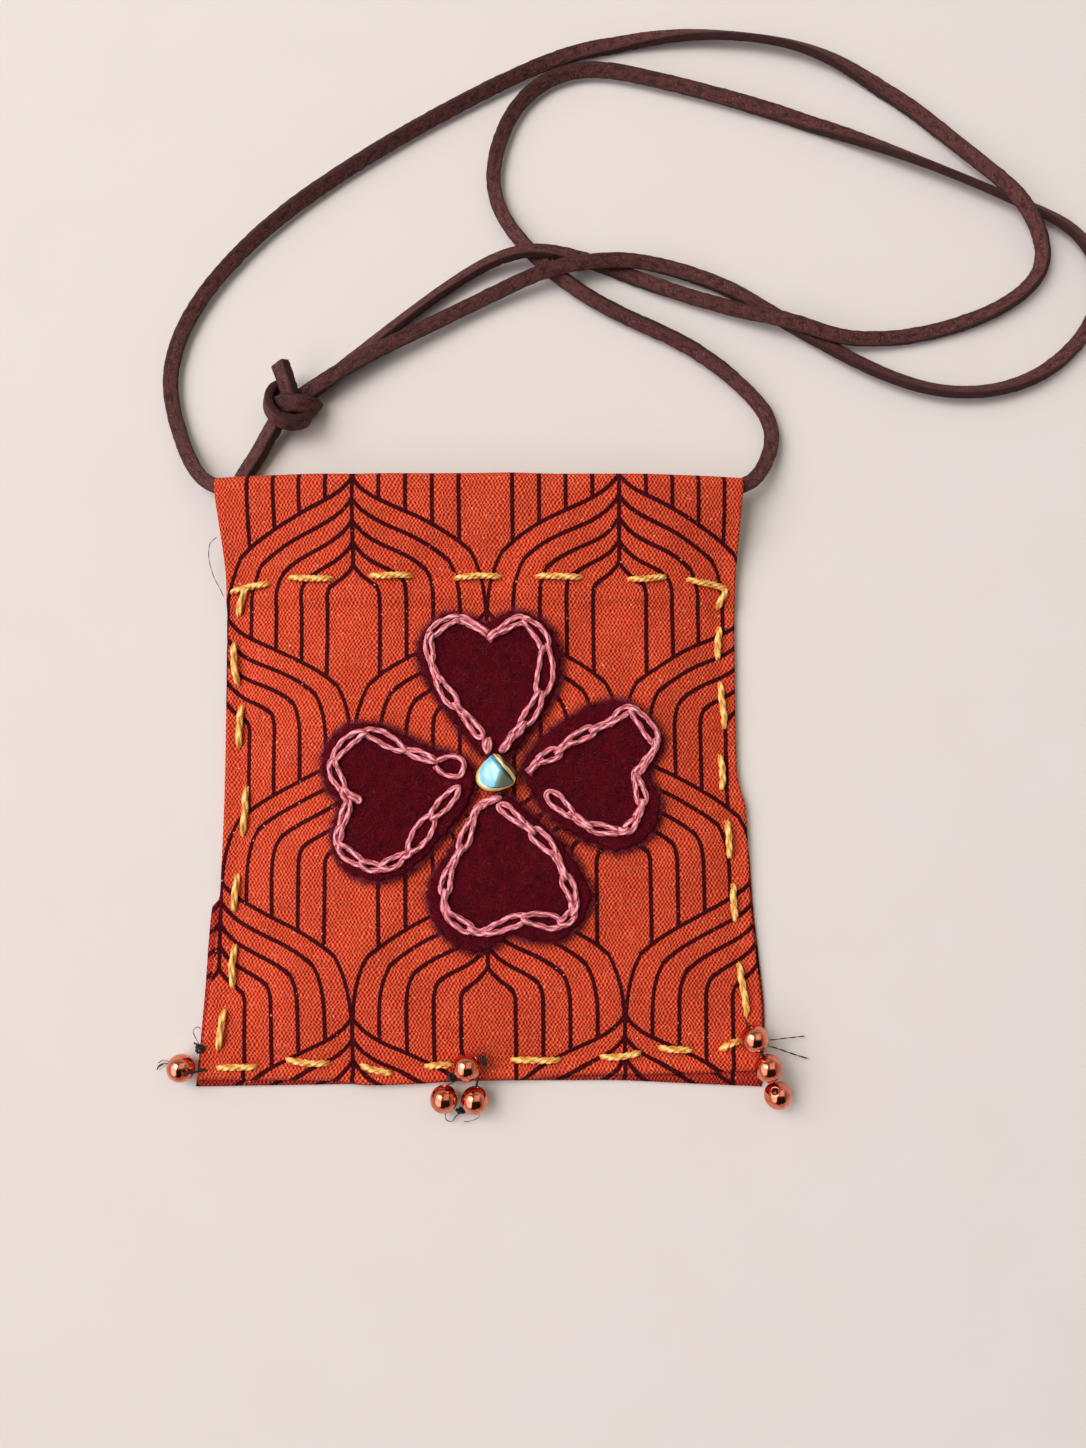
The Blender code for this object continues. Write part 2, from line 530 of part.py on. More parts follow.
def make_cord():
    """One length of cord: knot, left strand, casing, right strand, knot. Then its knot and its tail."""
    casing_x = half_width * np.array([-0.90, -0.67, -0.34, 0.0, 0.34, 0.67, 0.90])
    casing_z = 2 * fabric + pocket_height(casing_x / half_width, fold_y) + casing_height / 2
    casing = np.stack([casing_x, np.full(len(casing_x), fold_y), casing_z], axis=1)
    lifted = np.array((1.0, 1.0, cord_diameter))
    route = np.concatenate([left_strand[::-1] * lifted, casing, right_strand * lifted])
    add_tube("neck_cord", cord_points(route), cord_diameter / 2, suede)
    add_tube("cord_tail", tail_route * lifted, cord_diameter / 2, suede)

    lump = bmesh.new()
    bmesh.ops.create_cube(lump, size=1.0)
    bmesh.ops.scale(lump, vec=knot_size, verts=lump.verts)
    lump.faces.ensure_lookup_table()
    head = max(lump.faces, key=lambda face: face.calc_center_median().y)
    bmesh.ops.inset_region(lump, faces=[head], thickness=knot_shoulder)
    grown = bmesh.ops.extrude_face_region(lump, geom=[head])
    tip = [item for item in grown["geom"] if isinstance(item, bmesh.types.BMVert)]
    bmesh.ops.translate(lump, vec=(0.0, knot_stub[1], 0.0), verts=tip)
    bmesh.ops.delete(lump, geom=[head], context="FACES_ONLY")
    mesh = bpy.data.meshes.new("cord_knot")
    bmesh.ops.recalc_face_normals(lump, faces=lump.faces)
    lump.to_mesh(mesh)
    lump.free()
    mesh.shade_smooth()
    knot = add_object("cord_knot", mesh, suede)
    knot.location = knot_centre
    knot.rotation_euler.z = knot_turn
    soft = knot.modifiers.new("soft", "SUBSURF")
    soft.levels = 2
    soft.render_levels = 2


for old in list(bpy.data.objects):
    bpy.data.objects.remove(old, do_unlink=True)

parts = bpy.data.collections.new("beaded_medicine_bag")
bpy.context.scene.collection.children.link(parts)

cotton = make_material("printed cotton", (0.70, 0.07, 0.025), 0.9)
felt_cloth = make_material("wine felt", (0.09, 0.003, 0.013), 1.0)
pink_floss = make_material("pink floss", (0.67, 0.17, 0.19), 0.7)
yellow_floss = make_material("yellow floss", (0.87, 0.45, 0.08), 0.7)
copper = make_material("polished copper", (0.72, 0.30, 0.19), 0.12, 1.0)
turquoise = make_material("turquoise nugget", (0.26, 0.62, 0.75), 0.15)
suede = make_material("brown suede", (0.09, 0.03, 0.03), 0.95)
black_thread = make_material("black thread", (0.01, 0.008, 0.009), 0.7)

make_back_panel()
make_front_panel()
for heart in heart_outlines:
    make_heart(heart)
    make_heart_chain(heart)
make_running_stitches()
make_nugget()
make_beads()
make_cord()
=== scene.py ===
# Beaded medicine bag of printed cotton: felt hearts, chain stitch, beads and a knotted suede lace, lying on its back.
import math
import bpy
import numpy as np
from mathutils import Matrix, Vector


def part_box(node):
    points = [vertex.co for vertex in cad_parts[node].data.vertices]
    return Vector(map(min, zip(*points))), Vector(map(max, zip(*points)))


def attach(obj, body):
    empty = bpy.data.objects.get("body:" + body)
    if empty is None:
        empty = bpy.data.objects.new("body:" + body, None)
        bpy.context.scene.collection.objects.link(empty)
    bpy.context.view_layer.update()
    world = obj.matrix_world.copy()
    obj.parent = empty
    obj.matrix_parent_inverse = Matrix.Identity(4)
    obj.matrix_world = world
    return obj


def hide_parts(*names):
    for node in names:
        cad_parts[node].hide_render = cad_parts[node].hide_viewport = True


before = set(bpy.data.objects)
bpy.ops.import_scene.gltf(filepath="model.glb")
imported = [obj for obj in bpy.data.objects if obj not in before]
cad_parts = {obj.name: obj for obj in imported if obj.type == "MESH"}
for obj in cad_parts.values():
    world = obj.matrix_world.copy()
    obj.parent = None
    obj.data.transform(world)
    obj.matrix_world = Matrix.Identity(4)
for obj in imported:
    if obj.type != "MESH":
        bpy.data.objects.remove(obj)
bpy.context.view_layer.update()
print("frame loaded")

scene = bpy.context.scene
scene.view_settings.view_transform = "Standard"
mm = 0.001
fullTurn = 2 * math.pi


def tint(red, green, blue):  # a screen colour, 0 to 255, as the linear colour that a shader takes
    share = np.array([red, green, blue]) / 255
    linear = np.where(share <= 0.04045, share / 12.92, ((share + 0.055) / 1.055) ** 2.4)
    return (*linear.tolist(), 1.0)


# camera, floor and light
cameraSetup = {"place": (0.012, -0.01204, 0.2097), "tilt": 6.0, "lens": 28.0, "sensorHeight": 36.0}
cameraData = bpy.data.cameras.new("studioCamera")
cameraData.lens = cameraSetup["lens"]
cameraData.sensor_fit = "VERTICAL"
cameraData.sensor_height = cameraSetup["sensorHeight"]
cameraData.clip_start = 0.01
camera = bpy.data.objects.new("studioCamera", cameraData)
camera.location = cameraSetup["place"]
camera.rotation_euler = (math.radians(cameraSetup["tilt"]), 0, 0)
scene.collection.objects.link(camera)
scene.camera = camera

floorSetup = {"half": 1.5, "drop": 0.0002, "colour": tint(222, 219, 213), "grain": tint(218, 215, 208)}
floorMesh = bpy.data.meshes.new("paleFloor")
corners = [(x * floorSetup["half"], y * floorSetup["half"], -floorSetup["drop"])
           for x, y in ((-1, -1), (1, -1), (1, 1), (-1, 1))]
floorMesh.from_pydata(corners, [], [(0, 1, 2, 3)])
floor = bpy.data.objects.new("paleFloor", floorMesh)
scene.collection.objects.link(floor)

lampSetup = {"place": (-0.50, 0.30, 0.78), "size": 0.46, "power": 4.0, "colour": (1.0, 0.96, 0.91)}
lampData = bpy.data.lights.new("windowLamp", "AREA")
lampData.shape = "RECTANGLE"
lampData.size, lampData.size_y = lampSetup["size"], lampSetup["size"] * 1.3
lampData.energy = lampSetup["power"]
lampData.color = lampSetup["colour"]
lamp = bpy.data.objects.new("windowLamp", lampData)
lamp.location = lampSetup["place"]
aim = -np.array(lampSetup["place"])
lamp.rotation_euler = (math.atan2(math.hypot(aim[0], aim[1]), -aim[2]), 0, math.atan2(aim[1], aim[0]) - math.pi / 2)
scene.collection.objects.link(lamp)


# node helpers: a Term is a node's output, and sums of Terms add math nodes to its tree
class Term:
    def __init__(self, tree, socket):
        self.tree, self.socket = tree, socket

    def __add__(self, other):
        return calc("ADD", self, other)

    def __radd__(self, other):
        return calc("ADD", other, self)

    def __sub__(self, other):
        return calc("SUBTRACT", self, other)

    def __rsub__(self, other):
        return calc("SUBTRACT", other, self)

    def __mul__(self, other):
        return calc("MULTIPLY", self, other)

    def __truediv__(self, other):
        return calc("DIVIDE", self, other)


def plug(value, place):  # a Term is linked, anything else is set
    if isinstance(value, Term):
        value.tree.links.new(value.socket, place)
    else:
        place.default_value = value


def plugAll(values, places):
    for value, place in zip(values, places):
        plug(value, place)


def calc(operation, *terms):
    tree = next(term.tree for term in terms if isinstance(term, Term))
    node = tree.nodes.new("ShaderNodeMath")
    node.operation = operation
    plugAll(terms, node.inputs)
    return Term(tree, node.outputs[0])


def mixed(share, first, second):
    node = share.tree.nodes.new("ShaderNodeMix")
    node.data_type = "RGBA"
    plugAll((share, first, second), (node.inputs[0], node.inputs[6], node.inputs[7]))
    return Term(share.tree, node.outputs[2])


def speckle(spot, scale, detail=2.0, rough=0.5):
    node = spot.tree.nodes.new("ShaderNodeTexNoise")
    plugAll((spot, scale, detail, rough), [node.inputs[name] for name in ("Vector", "Scale", "Detail", "Roughness")])
    return Term(spot.tree, node.outputs[0])


def ramped(value, low, high):  # 0 below low, 1 above high, eased between
    node = value.tree.nodes.new("ShaderNodeMapRange")
    node.interpolation_type = "SMOOTHSTEP"
    plugAll((value, low, high), node.inputs)
    return Term(value.tree, node.outputs[0])


def stretched(spot, scale):
    node = spot.tree.nodes.new("ShaderNodeMapping")
    plugAll((spot, scale), (node.inputs[0], node.inputs["Scale"]))
    return Term(spot.tree, node.outputs[0])


def parts(spot):
    node = spot.tree.nodes.new("ShaderNodeSeparateXYZ")
    plug(spot, node.inputs[0])
    return [Term(spot.tree, socket) for socket in node.outputs]


def newGroup(name, outputs, inputs=()):
    group = bpy.data.node_groups.new(name, "ShaderNodeTree")
    group.interface.new_socket("Map", in_out="INPUT", socket_type="NodeSocketVector")
    for way, labels in (("INPUT", inputs), ("OUTPUT", outputs)):
        for label in labels:
            group.interface.new_socket(label, in_out=way, socket_type="NodeSocketFloat")
    given = group.nodes.new("NodeGroupInput").outputs
    return group, [Term(group, given[i]) for i in range(len(inputs) + 1)], group.nodes.new("NodeGroupOutput").inputs


def placeGroup(group, spot, **values):
    node = spot.tree.nodes.new("ShaderNodeGroup")
    node.node_tree = group
    plugAll((spot, *values.values()), [node.inputs[label] for label in ("Map", *values)])
    return {socket.name: Term(spot.tree, socket) for socket in node.outputs}


def newMaterial(name):
    material = bpy.data.materials.new(name)
    material.use_nodes = True
    return material, material.node_tree, material.node_tree.nodes["Principled BSDF"]


def pieceMap(tree, objectSpace=False):
    if objectSpace:
        return Term(tree, tree.nodes.new("ShaderNodeTexCoord").outputs["Object"])
    node = tree.nodes.new("ShaderNodeUVMap")
    node.uv_map = "pieceMap"
    return Term(tree, node.outputs[0])


def finished(shader, height, distance, strength, **values):  # the bump, and the shader's sockets by name
    node = height.tree.nodes.new("ShaderNodeBump")
    plugAll((strength, distance, height), [node.inputs[name] for name in ("Strength", "Distance", "Height")])
    plug(Term(height.tree, node.outputs[0]), shader.inputs["Normal"])
    named = {"colour": "Base Color", "rough": "Roughness", "gloss": "Specular IOR Level", "metal": "Metallic",
             "coat": "Coat Weight"}
    plugAll(values.values(), [shader.inputs[named[word]] for word in values])


# nested ogee arches, map in mm: k = smooth max(u / step, (v + fall(u) + start) / rise), a line at each whole k,
# with fall(u) = grade u + drop (1 - exp(-u / fade))
printSetup = {"across": 49.05, "shear": 0.20, "left": 72.02, "down": 24.54, "lean": 0.54, "top": 36.92,
              "step": 4.905, "rise": 3.95, "start": 2.296, "grade": 0.42, "drop": 2.388, "fade": 1.837,
              "arches": 5.0, "halfLine": 0.40, "blur": 0.07, "ragged": 0.38, "wander": 0.9}


def onLine(away):  # 1 in the middle of a line, 0 past its edge
    return 1.0 - ramped(away, printSetup["halfLine"] - printSetup["blur"], printSetup["halfLine"] + printSetup["blur"])


def archLines(u, v):
    p = printSetup
    dying = calc("EXPONENT", u * (-1 / p["fade"]))
    fall = u * p["grade"] + (1.0 - dying) * p["drop"]
    straight = u / p["step"]
    slanted = (v + fall + p["start"]) / p["rise"]
    hard = calc("MAXIMUM", straight, slanted)
    k = calc("SMOOTH_MAX", straight, slanted, 0.5 + hard * hard * 0.16)
    whole = calc("MINIMUM", calc("MAXIMUM", calc("ROUND", k), 1.0), p["arches"])
    steep = p["grade"] + dying * (p["drop"] / p["fade"])
    slope = calc("SQRT", 1.0 + steep * steep) / p["rise"]
    onSlant = calc("GREATER_THAN", slanted, straight)
    change = onSlant * slope + (1.0 - onSlant) * (1 / p["step"])
    return k, onLine(calc("ABSOLUTE", k - whole) / change)


def makePrint():
    # col and row count the arches on a skewed grid, and every other row is shifted by half a column
    group, (spot,), outer = newGroup("ogeePrint", ["Line"])
    p = printSetup
    x, y = parts(spot)[:2]
    east = x + (speckle(spot, 2.4, 3.0) - 0.5) * p["ragged"] + p["left"]
    south = p["top"] - (y + (speckle(spot, 0.07, 1.0) - 0.5) * p["wander"])
    size = p["across"] * p["down"] + p["shear"] * p["lean"]
    col = (east * p["down"] - south * p["shear"]) / size
    row = (south * p["across"] + east * p["lean"]) / size
    under = calc("FLOOR", row)
    vLower = (under + 1.0 - row) * p["down"]
    shifted = col + (1.0 - calc("FLOORED_MODULO", under, 2.0)) * 0.5
    uLower = calc("ABSOLUTE", shifted - calc("ROUND", shifted)) * p["across"]
    kLower, lower = archLines(uLower, vLower)
    upper = archLines(p["across"] / 2 - uLower, vLower - p["down"])[1]
    stem = onLine(uLower) * (calc("GREATER_THAN", kLower, 1.0) * calc("LESS_THAN", kLower, p["arches"]))
    above = calc("GREATER_THAN", kLower, p["arches"]) * upper
    plug(calc("MAXIMUM", calc("MAXIMUM", lower, above), stem), outer[0])
    return group


def makeWeave():
    # map in mm: cross = cos(2 pi u / pitch) cos(2 pi v / (1.5 pitch)), gap = its positive part ^ 1.2, over = its negative part
    group, (spot, pitch), outer = newGroup("plainWeave", ["Gap", "Over", "Height", "Slub"], ["Pitch"])
    u, v = parts(spot)[:2]
    wobble = (speckle(spot, 0.32, 2.0) - 0.5) * 1.3
    sway = (speckle(stretched(spot, (0.5, 1.4, 1)), 0.4) - 0.5) * 1.1
    a = (u + wobble) * fullTurn / pitch
    b = (v + sway) * (fullTurn / 1.5) / pitch
    cross = calc("COSINE", a) * calc("COSINE", b)
    gap = calc("POWER", calc("MAXIMUM", cross, 0.0), 1.2)
    over = calc("MAXIMUM", cross * -1.0, 0.0)
    warp, weft = (speckle(stretched(spot, scale), 1.0, 3.0) for scale in ((2.4, 0.16, 1), (0.16, 2.4, 1)))
    slub = (warp + weft) * 0.5
    height = (1.0 - gap) * (0.7 + over * 0.3) + slub * 0.5
    plugAll((gap, over, height, slub), outer)
    return group


def makeTwist():
    # fibres of a spun thread: stripe = sin(2 pi (around plies + along / twist)) softened by noise
    group, (spot, plies, twist), outer = newGroup("spunFibre", ["Shade", "Height"], ["Plies", "Twist"])
    along, around = parts(spot)[:2]
    stripe = calc("SINE", (around * plies + along / twist) * fullTurn + speckle(spot, 0.5, 2.0) * 3.0)
    fine = speckle(stretched(spot, (0.45, 16.0, 1)), 1.2, 3.0)
    plugAll((stripe * 0.13 + fine, stripe * 0.15 + fine), outer)
    return group


def makeNap():  # felted nap: broad mottle plus fine grain
    group, (spot, broad, fine), outer = newGroup("softNap", ["Mottle", "Grain"], ["Broad", "Fine"])
    plugAll([ramped(speckle(spot, scale, detail), 0.32, 0.68) for scale, detail in ((broad, 3.0), (fine, 4.0))], outer)
    return group


ogeePrint, plainWeave, spunFibre, softNap = makePrint(), makeWeave(), makeTwist(), makeNap()


def clothMaterial(name, base, bright, deep, line):
    # painted highlight on the thread crests, lighter slubs, painted shade in the gaps between threads, deeper patches,
    # the print over them with painted shade in its gaps too, and a few pale neps on top
    material, tree, shader = newMaterial(name)
    spot = pieceMap(tree)
    weave = placeGroup(plainWeave, spot, Pitch=0.70)
    gap, slub = weave["Gap"], weave["Slub"]
    # the thread crests lighter: a painted highlight
    ground = mixed(ramped(weave["Over"], 0.1, 0.9), base, bright)
    ground = mixed(ramped(speckle(spot, 1.1, 4.0, 0.7), 0.35, 0.65) * 0.30, ground, deep)
    ground = mixed(ramped(slub, 0.50, 0.68) * 0.45, ground, bright)
    ground = mixed(ramped(speckle(spot, 0.09, 3.0), 0.35, 0.65) * 0.14, ground, deep)
    # the gaps between threads darker: painted shade, laid over the weave's real bump
    ground = mixed(gap * 0.95, ground, deep)
    inked = mixed(ramped(slub, 0.42, 0.66), line, tint(84, 8, 18))
    # the print's gaps darker too: painted shade
    inked = mixed(gap * 0.6, inked, tint(40, 6, 12))
    ground = mixed(placeGroup(ogeePrint, spot)["Line"], ground, inked)
    ground = mixed(ramped(speckle(spot, 1.5, 0.0), 0.80, 0.84) * 0.55, ground, tint(250, 196, 168))
    finished(shader, weave["Height"], 0.00030, 0.85, colour=ground, rough=0.88, gloss=0.12)
    return material


def threadMaterial(name, light, middle, dark, plies, twist, rough=0.6, depth=0.0001):
    material, tree, shader = newMaterial(name)
    fibre = placeGroup(spunFibre, pieceMap(tree), Plies=plies, Twist=twist)
    # dark and light follow the plies as painted shade in the grooves and painted highlight on the crests, with real
    # fibre streaks mixed in
    colour = mixed(ramped(fibre["Shade"], 0.26, 0.50), dark, middle)
    colour = mixed(ramped(fibre["Shade"], 0.50, 0.72), colour, light)
    finished(shader, fibre["Height"], depth, 0.6, colour=colour, rough=rough)
    return material


def napMaterial(name, base, bright, deep, broad, fine, depth):
    material, tree, shader = newMaterial(name)
    nap = placeGroup(softNap, pieceMap(tree, True), Broad=broad, Fine=fine)
    colour = mixed(nap["Grain"] * 0.6, mixed(nap["Mottle"], deep, base), bright)
    finished(shader, nap["Grain"], depth, 0.8, colour=colour, rough=0.92, gloss=0.08)
    return material


floorMaterial, floorTree, floorShader = newMaterial("palePaper")
floorGrain = speckle(pieceMap(floorTree, True), 60.0, 3.0)
plug(mixed(floorGrain, floorSetup["colour"], floorSetup["grain"]), floorShader.inputs["Base Color"])
floorShader.inputs["Roughness"].default_value = 0.9
floorMesh.materials.append(floorMaterial)

# the room: a window to the left, paler ceiling beyond the bag, a dim patch before it with a small bright one below, pale low down
room = {
    "strength": 0.55, "even": (0.50, 0.49, 0.48, 1), "low": (1.0, 0.98, 0.95, 1), "lowEdge": (0.33, 0.40),
    # each patch: its reach along x and y of the direction, how soft it ends and its light
    "patches": ((-1.1, -0.27, -0.72, 0.60, 0.05, (4.5, 4.0, 4.3, 1)), (0.02, 0.66, 0.10, 0.74, 0.06, (1.9, 1.7, 1.4, 1)),
                (-0.36, 0.74, -0.95, -0.02, 0.07, (0.05, 0.04, 0.035, 1)),
                (0.20, 0.50, -1.1, -0.86, 0.05, (2.4, 1.9, 1.5, 1))),
}
world = bpy.data.worlds.new("softRoom")
world.use_nodes = True
scene.world = world
roomTree = world.node_tree
roomX, roomY, roomZ = parts(Term(roomTree, roomTree.nodes.new("ShaderNodeTexCoord").outputs["Generated"]))
roomColour = room["even"]
for west, east, south, north, soft, light in room["patches"]:
    inside = (ramped(roomX, west - soft, west + soft) * ramped(roomX, east + soft, east - soft)
              * (ramped(roomY, south - soft, south + soft) * ramped(roomY, north + soft, north - soft)))
    roomColour = mixed(inside, roomColour, light)
roomColour = mixed(ramped(roomZ, *room["lowEdge"]), room["low"], roomColour)
plugAll((roomColour, room["strength"]), roomTree.nodes["Background"].inputs)
print("camera, floor, light and shared nodes made")


def gridSurface(points, along, around, wrap=False, caps=False):
    # a grid of points to quads; along and around give the map, around with one more column where the grid wraps
    rows, cols = points.shape[:2]
    index = np.arange(rows * cols).reshape(rows, cols)
    if wrap:
        index = np.concatenate([index, index[:, :1]], axis=1)
    quads = np.stack([index[:-1, :-1], index[:-1, 1:], index[1:, 1:], index[1:, :-1]], axis=-1).reshape(-1, 4)
    chart = np.stack(np.broadcast_arrays(along, around), axis=-1)
    charts = np.stack([chart[:-1, :-1], chart[:-1, 1:], chart[1:, 1:], chart[1:, :-1]], axis=-2).reshape(-1, 2)
    flat = points.reshape(-1, 3)
    faces = quads.tolist()
    if caps:
        faces += [index[0, :cols][::-1].tolist(), index[-1, :cols].tolist()]
        charts = np.concatenate([charts, chart[0, :cols][::-1], chart[-1, :cols]])
        a, b, c, d = (flat[quads[:, i]] - flat.mean(axis=0) for i in range(4))
        if (np.cross(b - a, c - a) * a).sum() + (np.cross(c - a, d - a) * a).sum() < 0:  # inside out: turn every face
            ends = np.cumsum([len(face) for face in faces])
            charts = charts[np.concatenate([np.arange(len(face))[::-1] + end - len(face) for face, end in zip(faces, ends)])]
            faces = [face[::-1] for face in faces]
    return flat, faces, charts


def joined(surfaces):
    points, faces, charts, start = [], [], [], 0
    for flat, some, chart in surfaces:
        points.append(flat)
        faces += [[start + corner for corner in face] for face in some]
        charts.append(chart)
        start += len(flat)
    return np.concatenate(points), faces, np.concatenate(charts)


def addPiece(name, surface, material, nodes=()):
    flat, faces, charts = surface
    mesh = bpy.data.meshes.new(name)
    mesh.from_pydata(flat, [], faces)
    layer = mesh.uv_layers.new(name="pieceMap")
    layer.uv.foreach_set("vector", charts.astype(np.float32).ravel())
    mesh.polygons.foreach_set("use_smooth", np.ones(len(mesh.polygons), bool))
    mesh.materials.append(material)
    piece = bpy.data.objects.new(name, mesh)
    scene.collection.objects.link(piece)
    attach(piece, "root")
    if nodes:
        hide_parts(*nodes)
    return piece


def unit(vectors):
    return vectors / np.maximum(np.linalg.norm(vectors, axis=-1, keepdims=True), 1e-12)


def runAlong(points):  # the length from the first point to each
    return np.concatenate([[0], np.cumsum(np.linalg.norm(np.diff(points, axis=0), axis=1))])


def readAt(at, run, points):
    return np.stack([np.interp(at, run, column) for column in points.T], axis=-1)


def bell(distance, reach):  # exp(-(distance / reach) ^ 2)
    return np.exp(-(distance / reach) ** 2)


def spread(x, y, z):  # a grid of points from rows and columns that broadcast together
    return np.stack(np.broadcast_arrays(x, y, z), axis=-1)


def carried(centres, profile, turn=0.0, swell=1.0, lift=(0.0, 0.0, 1.0)):
    # ring point = centre + side (a cos t - b sin t) + rise (a sin t + b cos t), with (a, b) from the profile and t the turn
    count = len(centres)
    ahead = unit(np.gradient(centres, axis=0))
    side = unit(np.cross(ahead, np.broadcast_to(lift, centres.shape)))
    rise = np.cross(side, ahead)
    profile = np.broadcast_to(profile, (count,) + np.shape(profile)[-2:])
    turn = np.broadcast_to(turn, count)[:, None]
    swell = np.broadcast_to(swell, count)[:, None]
    a, b = profile[..., 0] * swell, profile[..., 1] * swell
    across, up = a * np.cos(turn) - b * np.sin(turn), a * np.sin(turn) + b * np.cos(turn)
    rings = centres[:, None] + side[:, None] * across[..., None] + rise[:, None] * up[..., None]
    around = np.linspace(0, 1, rings.shape[1] + 1)
    return gridSurface(rings, runAlong(centres)[:, None] / mm, around[None, :], wrap=True, caps=True)


def boxProfile(width, thickness, sides=20, power=7.0):  # |a / half width| ^ power + |b / half thickness| ^ power = 1
    angle = np.linspace(0, fullTurn, sides, endpoint=False)
    c, s = np.cos(angle), np.sin(angle)
    return np.stack([np.sign(c) * np.abs(c) ** (2 / power) * width / 2,
                     np.sign(s) * np.abs(s) ** (2 / power) * thickness / 2], axis=-1)


def cutProfile(profile, count, seed):  # the profile once for each ring, its two cut edges and faces a little uneven
    rough = np.random.default_rng(seed).normal(0, 1, (count, len(profile)))
    rough = 0.6 * rough + 0.4 * np.roll(rough, 1, axis=0)
    onEdge = np.abs(profile[:, 0]) / np.abs(profile[:, 0]).max() > 0.9
    return profile * (1 + rough * np.where(onEdge, 0.032, 0.012))[..., None]


def plyProfile(radius, plies, turn, sides):
    # outline of touching round plies: q cos d + sqrt(p p - q q sin d sin d), d the angle from the nearest ply
    ply = radius / (1 + 1 / math.sin(math.pi / plies))
    middle = radius - ply
    whole = np.linspace(0, fullTurn, sides, endpoint=False)[None, :]
    sector = fullTurn / plies
    off = (whole - np.asarray(turn)[:, None] + sector / 2) % sector - sector / 2
    reach = middle * np.cos(off) + np.sqrt(np.maximum(ply ** 2 - (middle * np.sin(off)) ** 2, 0))
    return np.stack([np.cos(whole) * reach, np.sin(whole) * reach], axis=-1)


def smoothPath(route, steps):  # Catmull-Rom through the points, ends extended by reflection
    route = np.asarray(route, float)
    long = np.concatenate([[2 * route[0] - route[1]], route, [2 * route[-1] - route[-2]]])
    t = np.linspace(0, 1, steps, endpoint=False)[:, None]
    a, b, c, d = (long[i:len(long) - 3 + i][:, None] for i in range(4))
    rows = 0.5 * (2 * b + (c - a) * t + (2 * a - 5 * b + 4 * c - d) * t ** 2 + (3 * b - a - 3 * c + d) * t ** 3)
    return np.concatenate([rows.reshape(-1, route.shape[1]), route[-1:]])


def evenPath(route, spacing, steps=12):  # the smooth path, with its points an even spacing apart
    fine = smoothPath(route, steps)
    run = runAlong(fine)
    return readAt(np.linspace(0, run[-1], max(int(run[-1] / spacing) + 1, 4)), run, fine)


def readLevel(pairs, at):
    wave = smoothPath(pairs, 8)
    return np.interp(at, wave[:, 0], wave[:, 1])


def eased(share):
    share = np.clip(share, 0, 1)
    return share * share * (3 - 2 * share)


# the bag's cloth, the same shape as its solids
bag = {
    "height": 0.1118, "halfWidth": 0.0493, "backLow": -0.0559, "frontLow": -0.0544, "foldRadius": 0.00175,
    "foldY": 0.0539, "stitchY": 0.0366, "hemY": 0.0336, "seamLow": -0.0516, "seamShare": 1 - 0.0030 / 0.0493,
    "cloth": 0.0005, "clearance": 0.0003, "pocketDepth": 0.0047, "mouthEnd": 0.0019, "power": 3.5,
    "bottomFade": 0.030, "backTop": 0.0504, "casingHeight": 0.0030, "hemRamp": 0.0030,
    "left": ((0.0, -0.0010), (0.10, 0.0002), (0.26, 0.0019), (0.34, 0.0022), (0.50, 0.0024), (0.78, 0.0019),
        (0.86, 0.0015), (1.0, 0.0)),
    "right": ((0.0, -0.0019), (0.11, -0.0024), (0.21, -0.0015), (0.30, -0.0007), (0.44, -0.0002), (0.48, 0.0008),
        (0.53, 0.0014), (0.72, 0.0014), (0.83, 0.0011), (1.0, 0.0)),
    "leftShow": ((0.0, 0.0004), (0.14, 0.0010), (0.28, 0.0016), (0.36, 0.0), (1.0, 0.0)),
    "rightShow": ((0.0, 0.0003), (0.15, 0.0006), (0.35, 0.0004), (0.45, 0.0), (1.0, 0.0)),
    "frontBottom": ((-1.0, 0.0), (-0.54, -0.0002), (-0.38, -0.0010), (0.0, -0.0002), (0.16, 0.0), (0.34, 0.0008),
        (0.67, 0.0010), (1.0, 0.0015)),
    "backBottom": ((-1.0, 0.0), (-0.4, 0.0005), (0.0, 0.0010), (0.27, 0.0011), (0.5, 0.0011), (0.72, 0.0006),
        (1.0, 0.0)),
}

# running stitches of yellow floss, each from end to end, x and y in mm
runningStitch = {
    "width": 1.30, "rise": 0.30, "turnLength": {"top": 3.4, "left": 11.0, "right": 7.0, "bottom": 4.2},
    "top": ((-46.6, 34.5, -39.0, 36.1), (-35.3, 36.7, -26.8, 36.4), (-20.0, 36.8, -12.0, 36.6),
        (-4.4, 36.5, 4.3, 36.7), (10.7, 36.5, 19.2, 36.6), (27.7, 36.2, 34.9, 37.0), (38.8, 36.8, 46.5, 35.1)),
    "left": ((-43.6, 35.9, -45.1, 30.2), (-46.0, 25.2, -45.0, 17.1), (-43.9, 13.5, -44.6, 5.3),
        (-42.6, -1.7, -43.1, -10.9), (-44.1, -17.8, -44.3, -24.5), (-44.1, -30.6, -44.3, -38.3),
        (-45.5, -42.2, -46.8, -49.4)),
    "right": ((46.1, 35.3, 44.8, 31.5), (44.9, 28.2, 44.6, 22.0), (45.1, 17.8, 45.6, 9.0), (44.9, 4.1, 45.1, -2.3),
        (45.7, -8.1, 46.4, -14.9), (46.7, -19.6, 47.0, -26.4), (47.7, -33.8, 48.8, -43.4)),
    "bottom": ((-46.7, -52.5, -39.5, -52.0), (-34.4, -51.1, -26.5, -51.6), (-20.9, -51.8, -15.3, -53.5),
        (-9.3, -52.1, -4.4, -51.8), (6.2, -51.1, 15.1, -50.8), (22.4, -50.6, 29.6, -49.7),
        (32.9, -48.6, 38.8, -49.4), (43.9, -49.2, 47.5, -47.3)),
}
stitchRows = ("top", "left", "right", "bottom")
stitchEnds = np.concatenate([np.array(runningStitch[row]).reshape(-1, 2) for row in stitchRows]) * mm


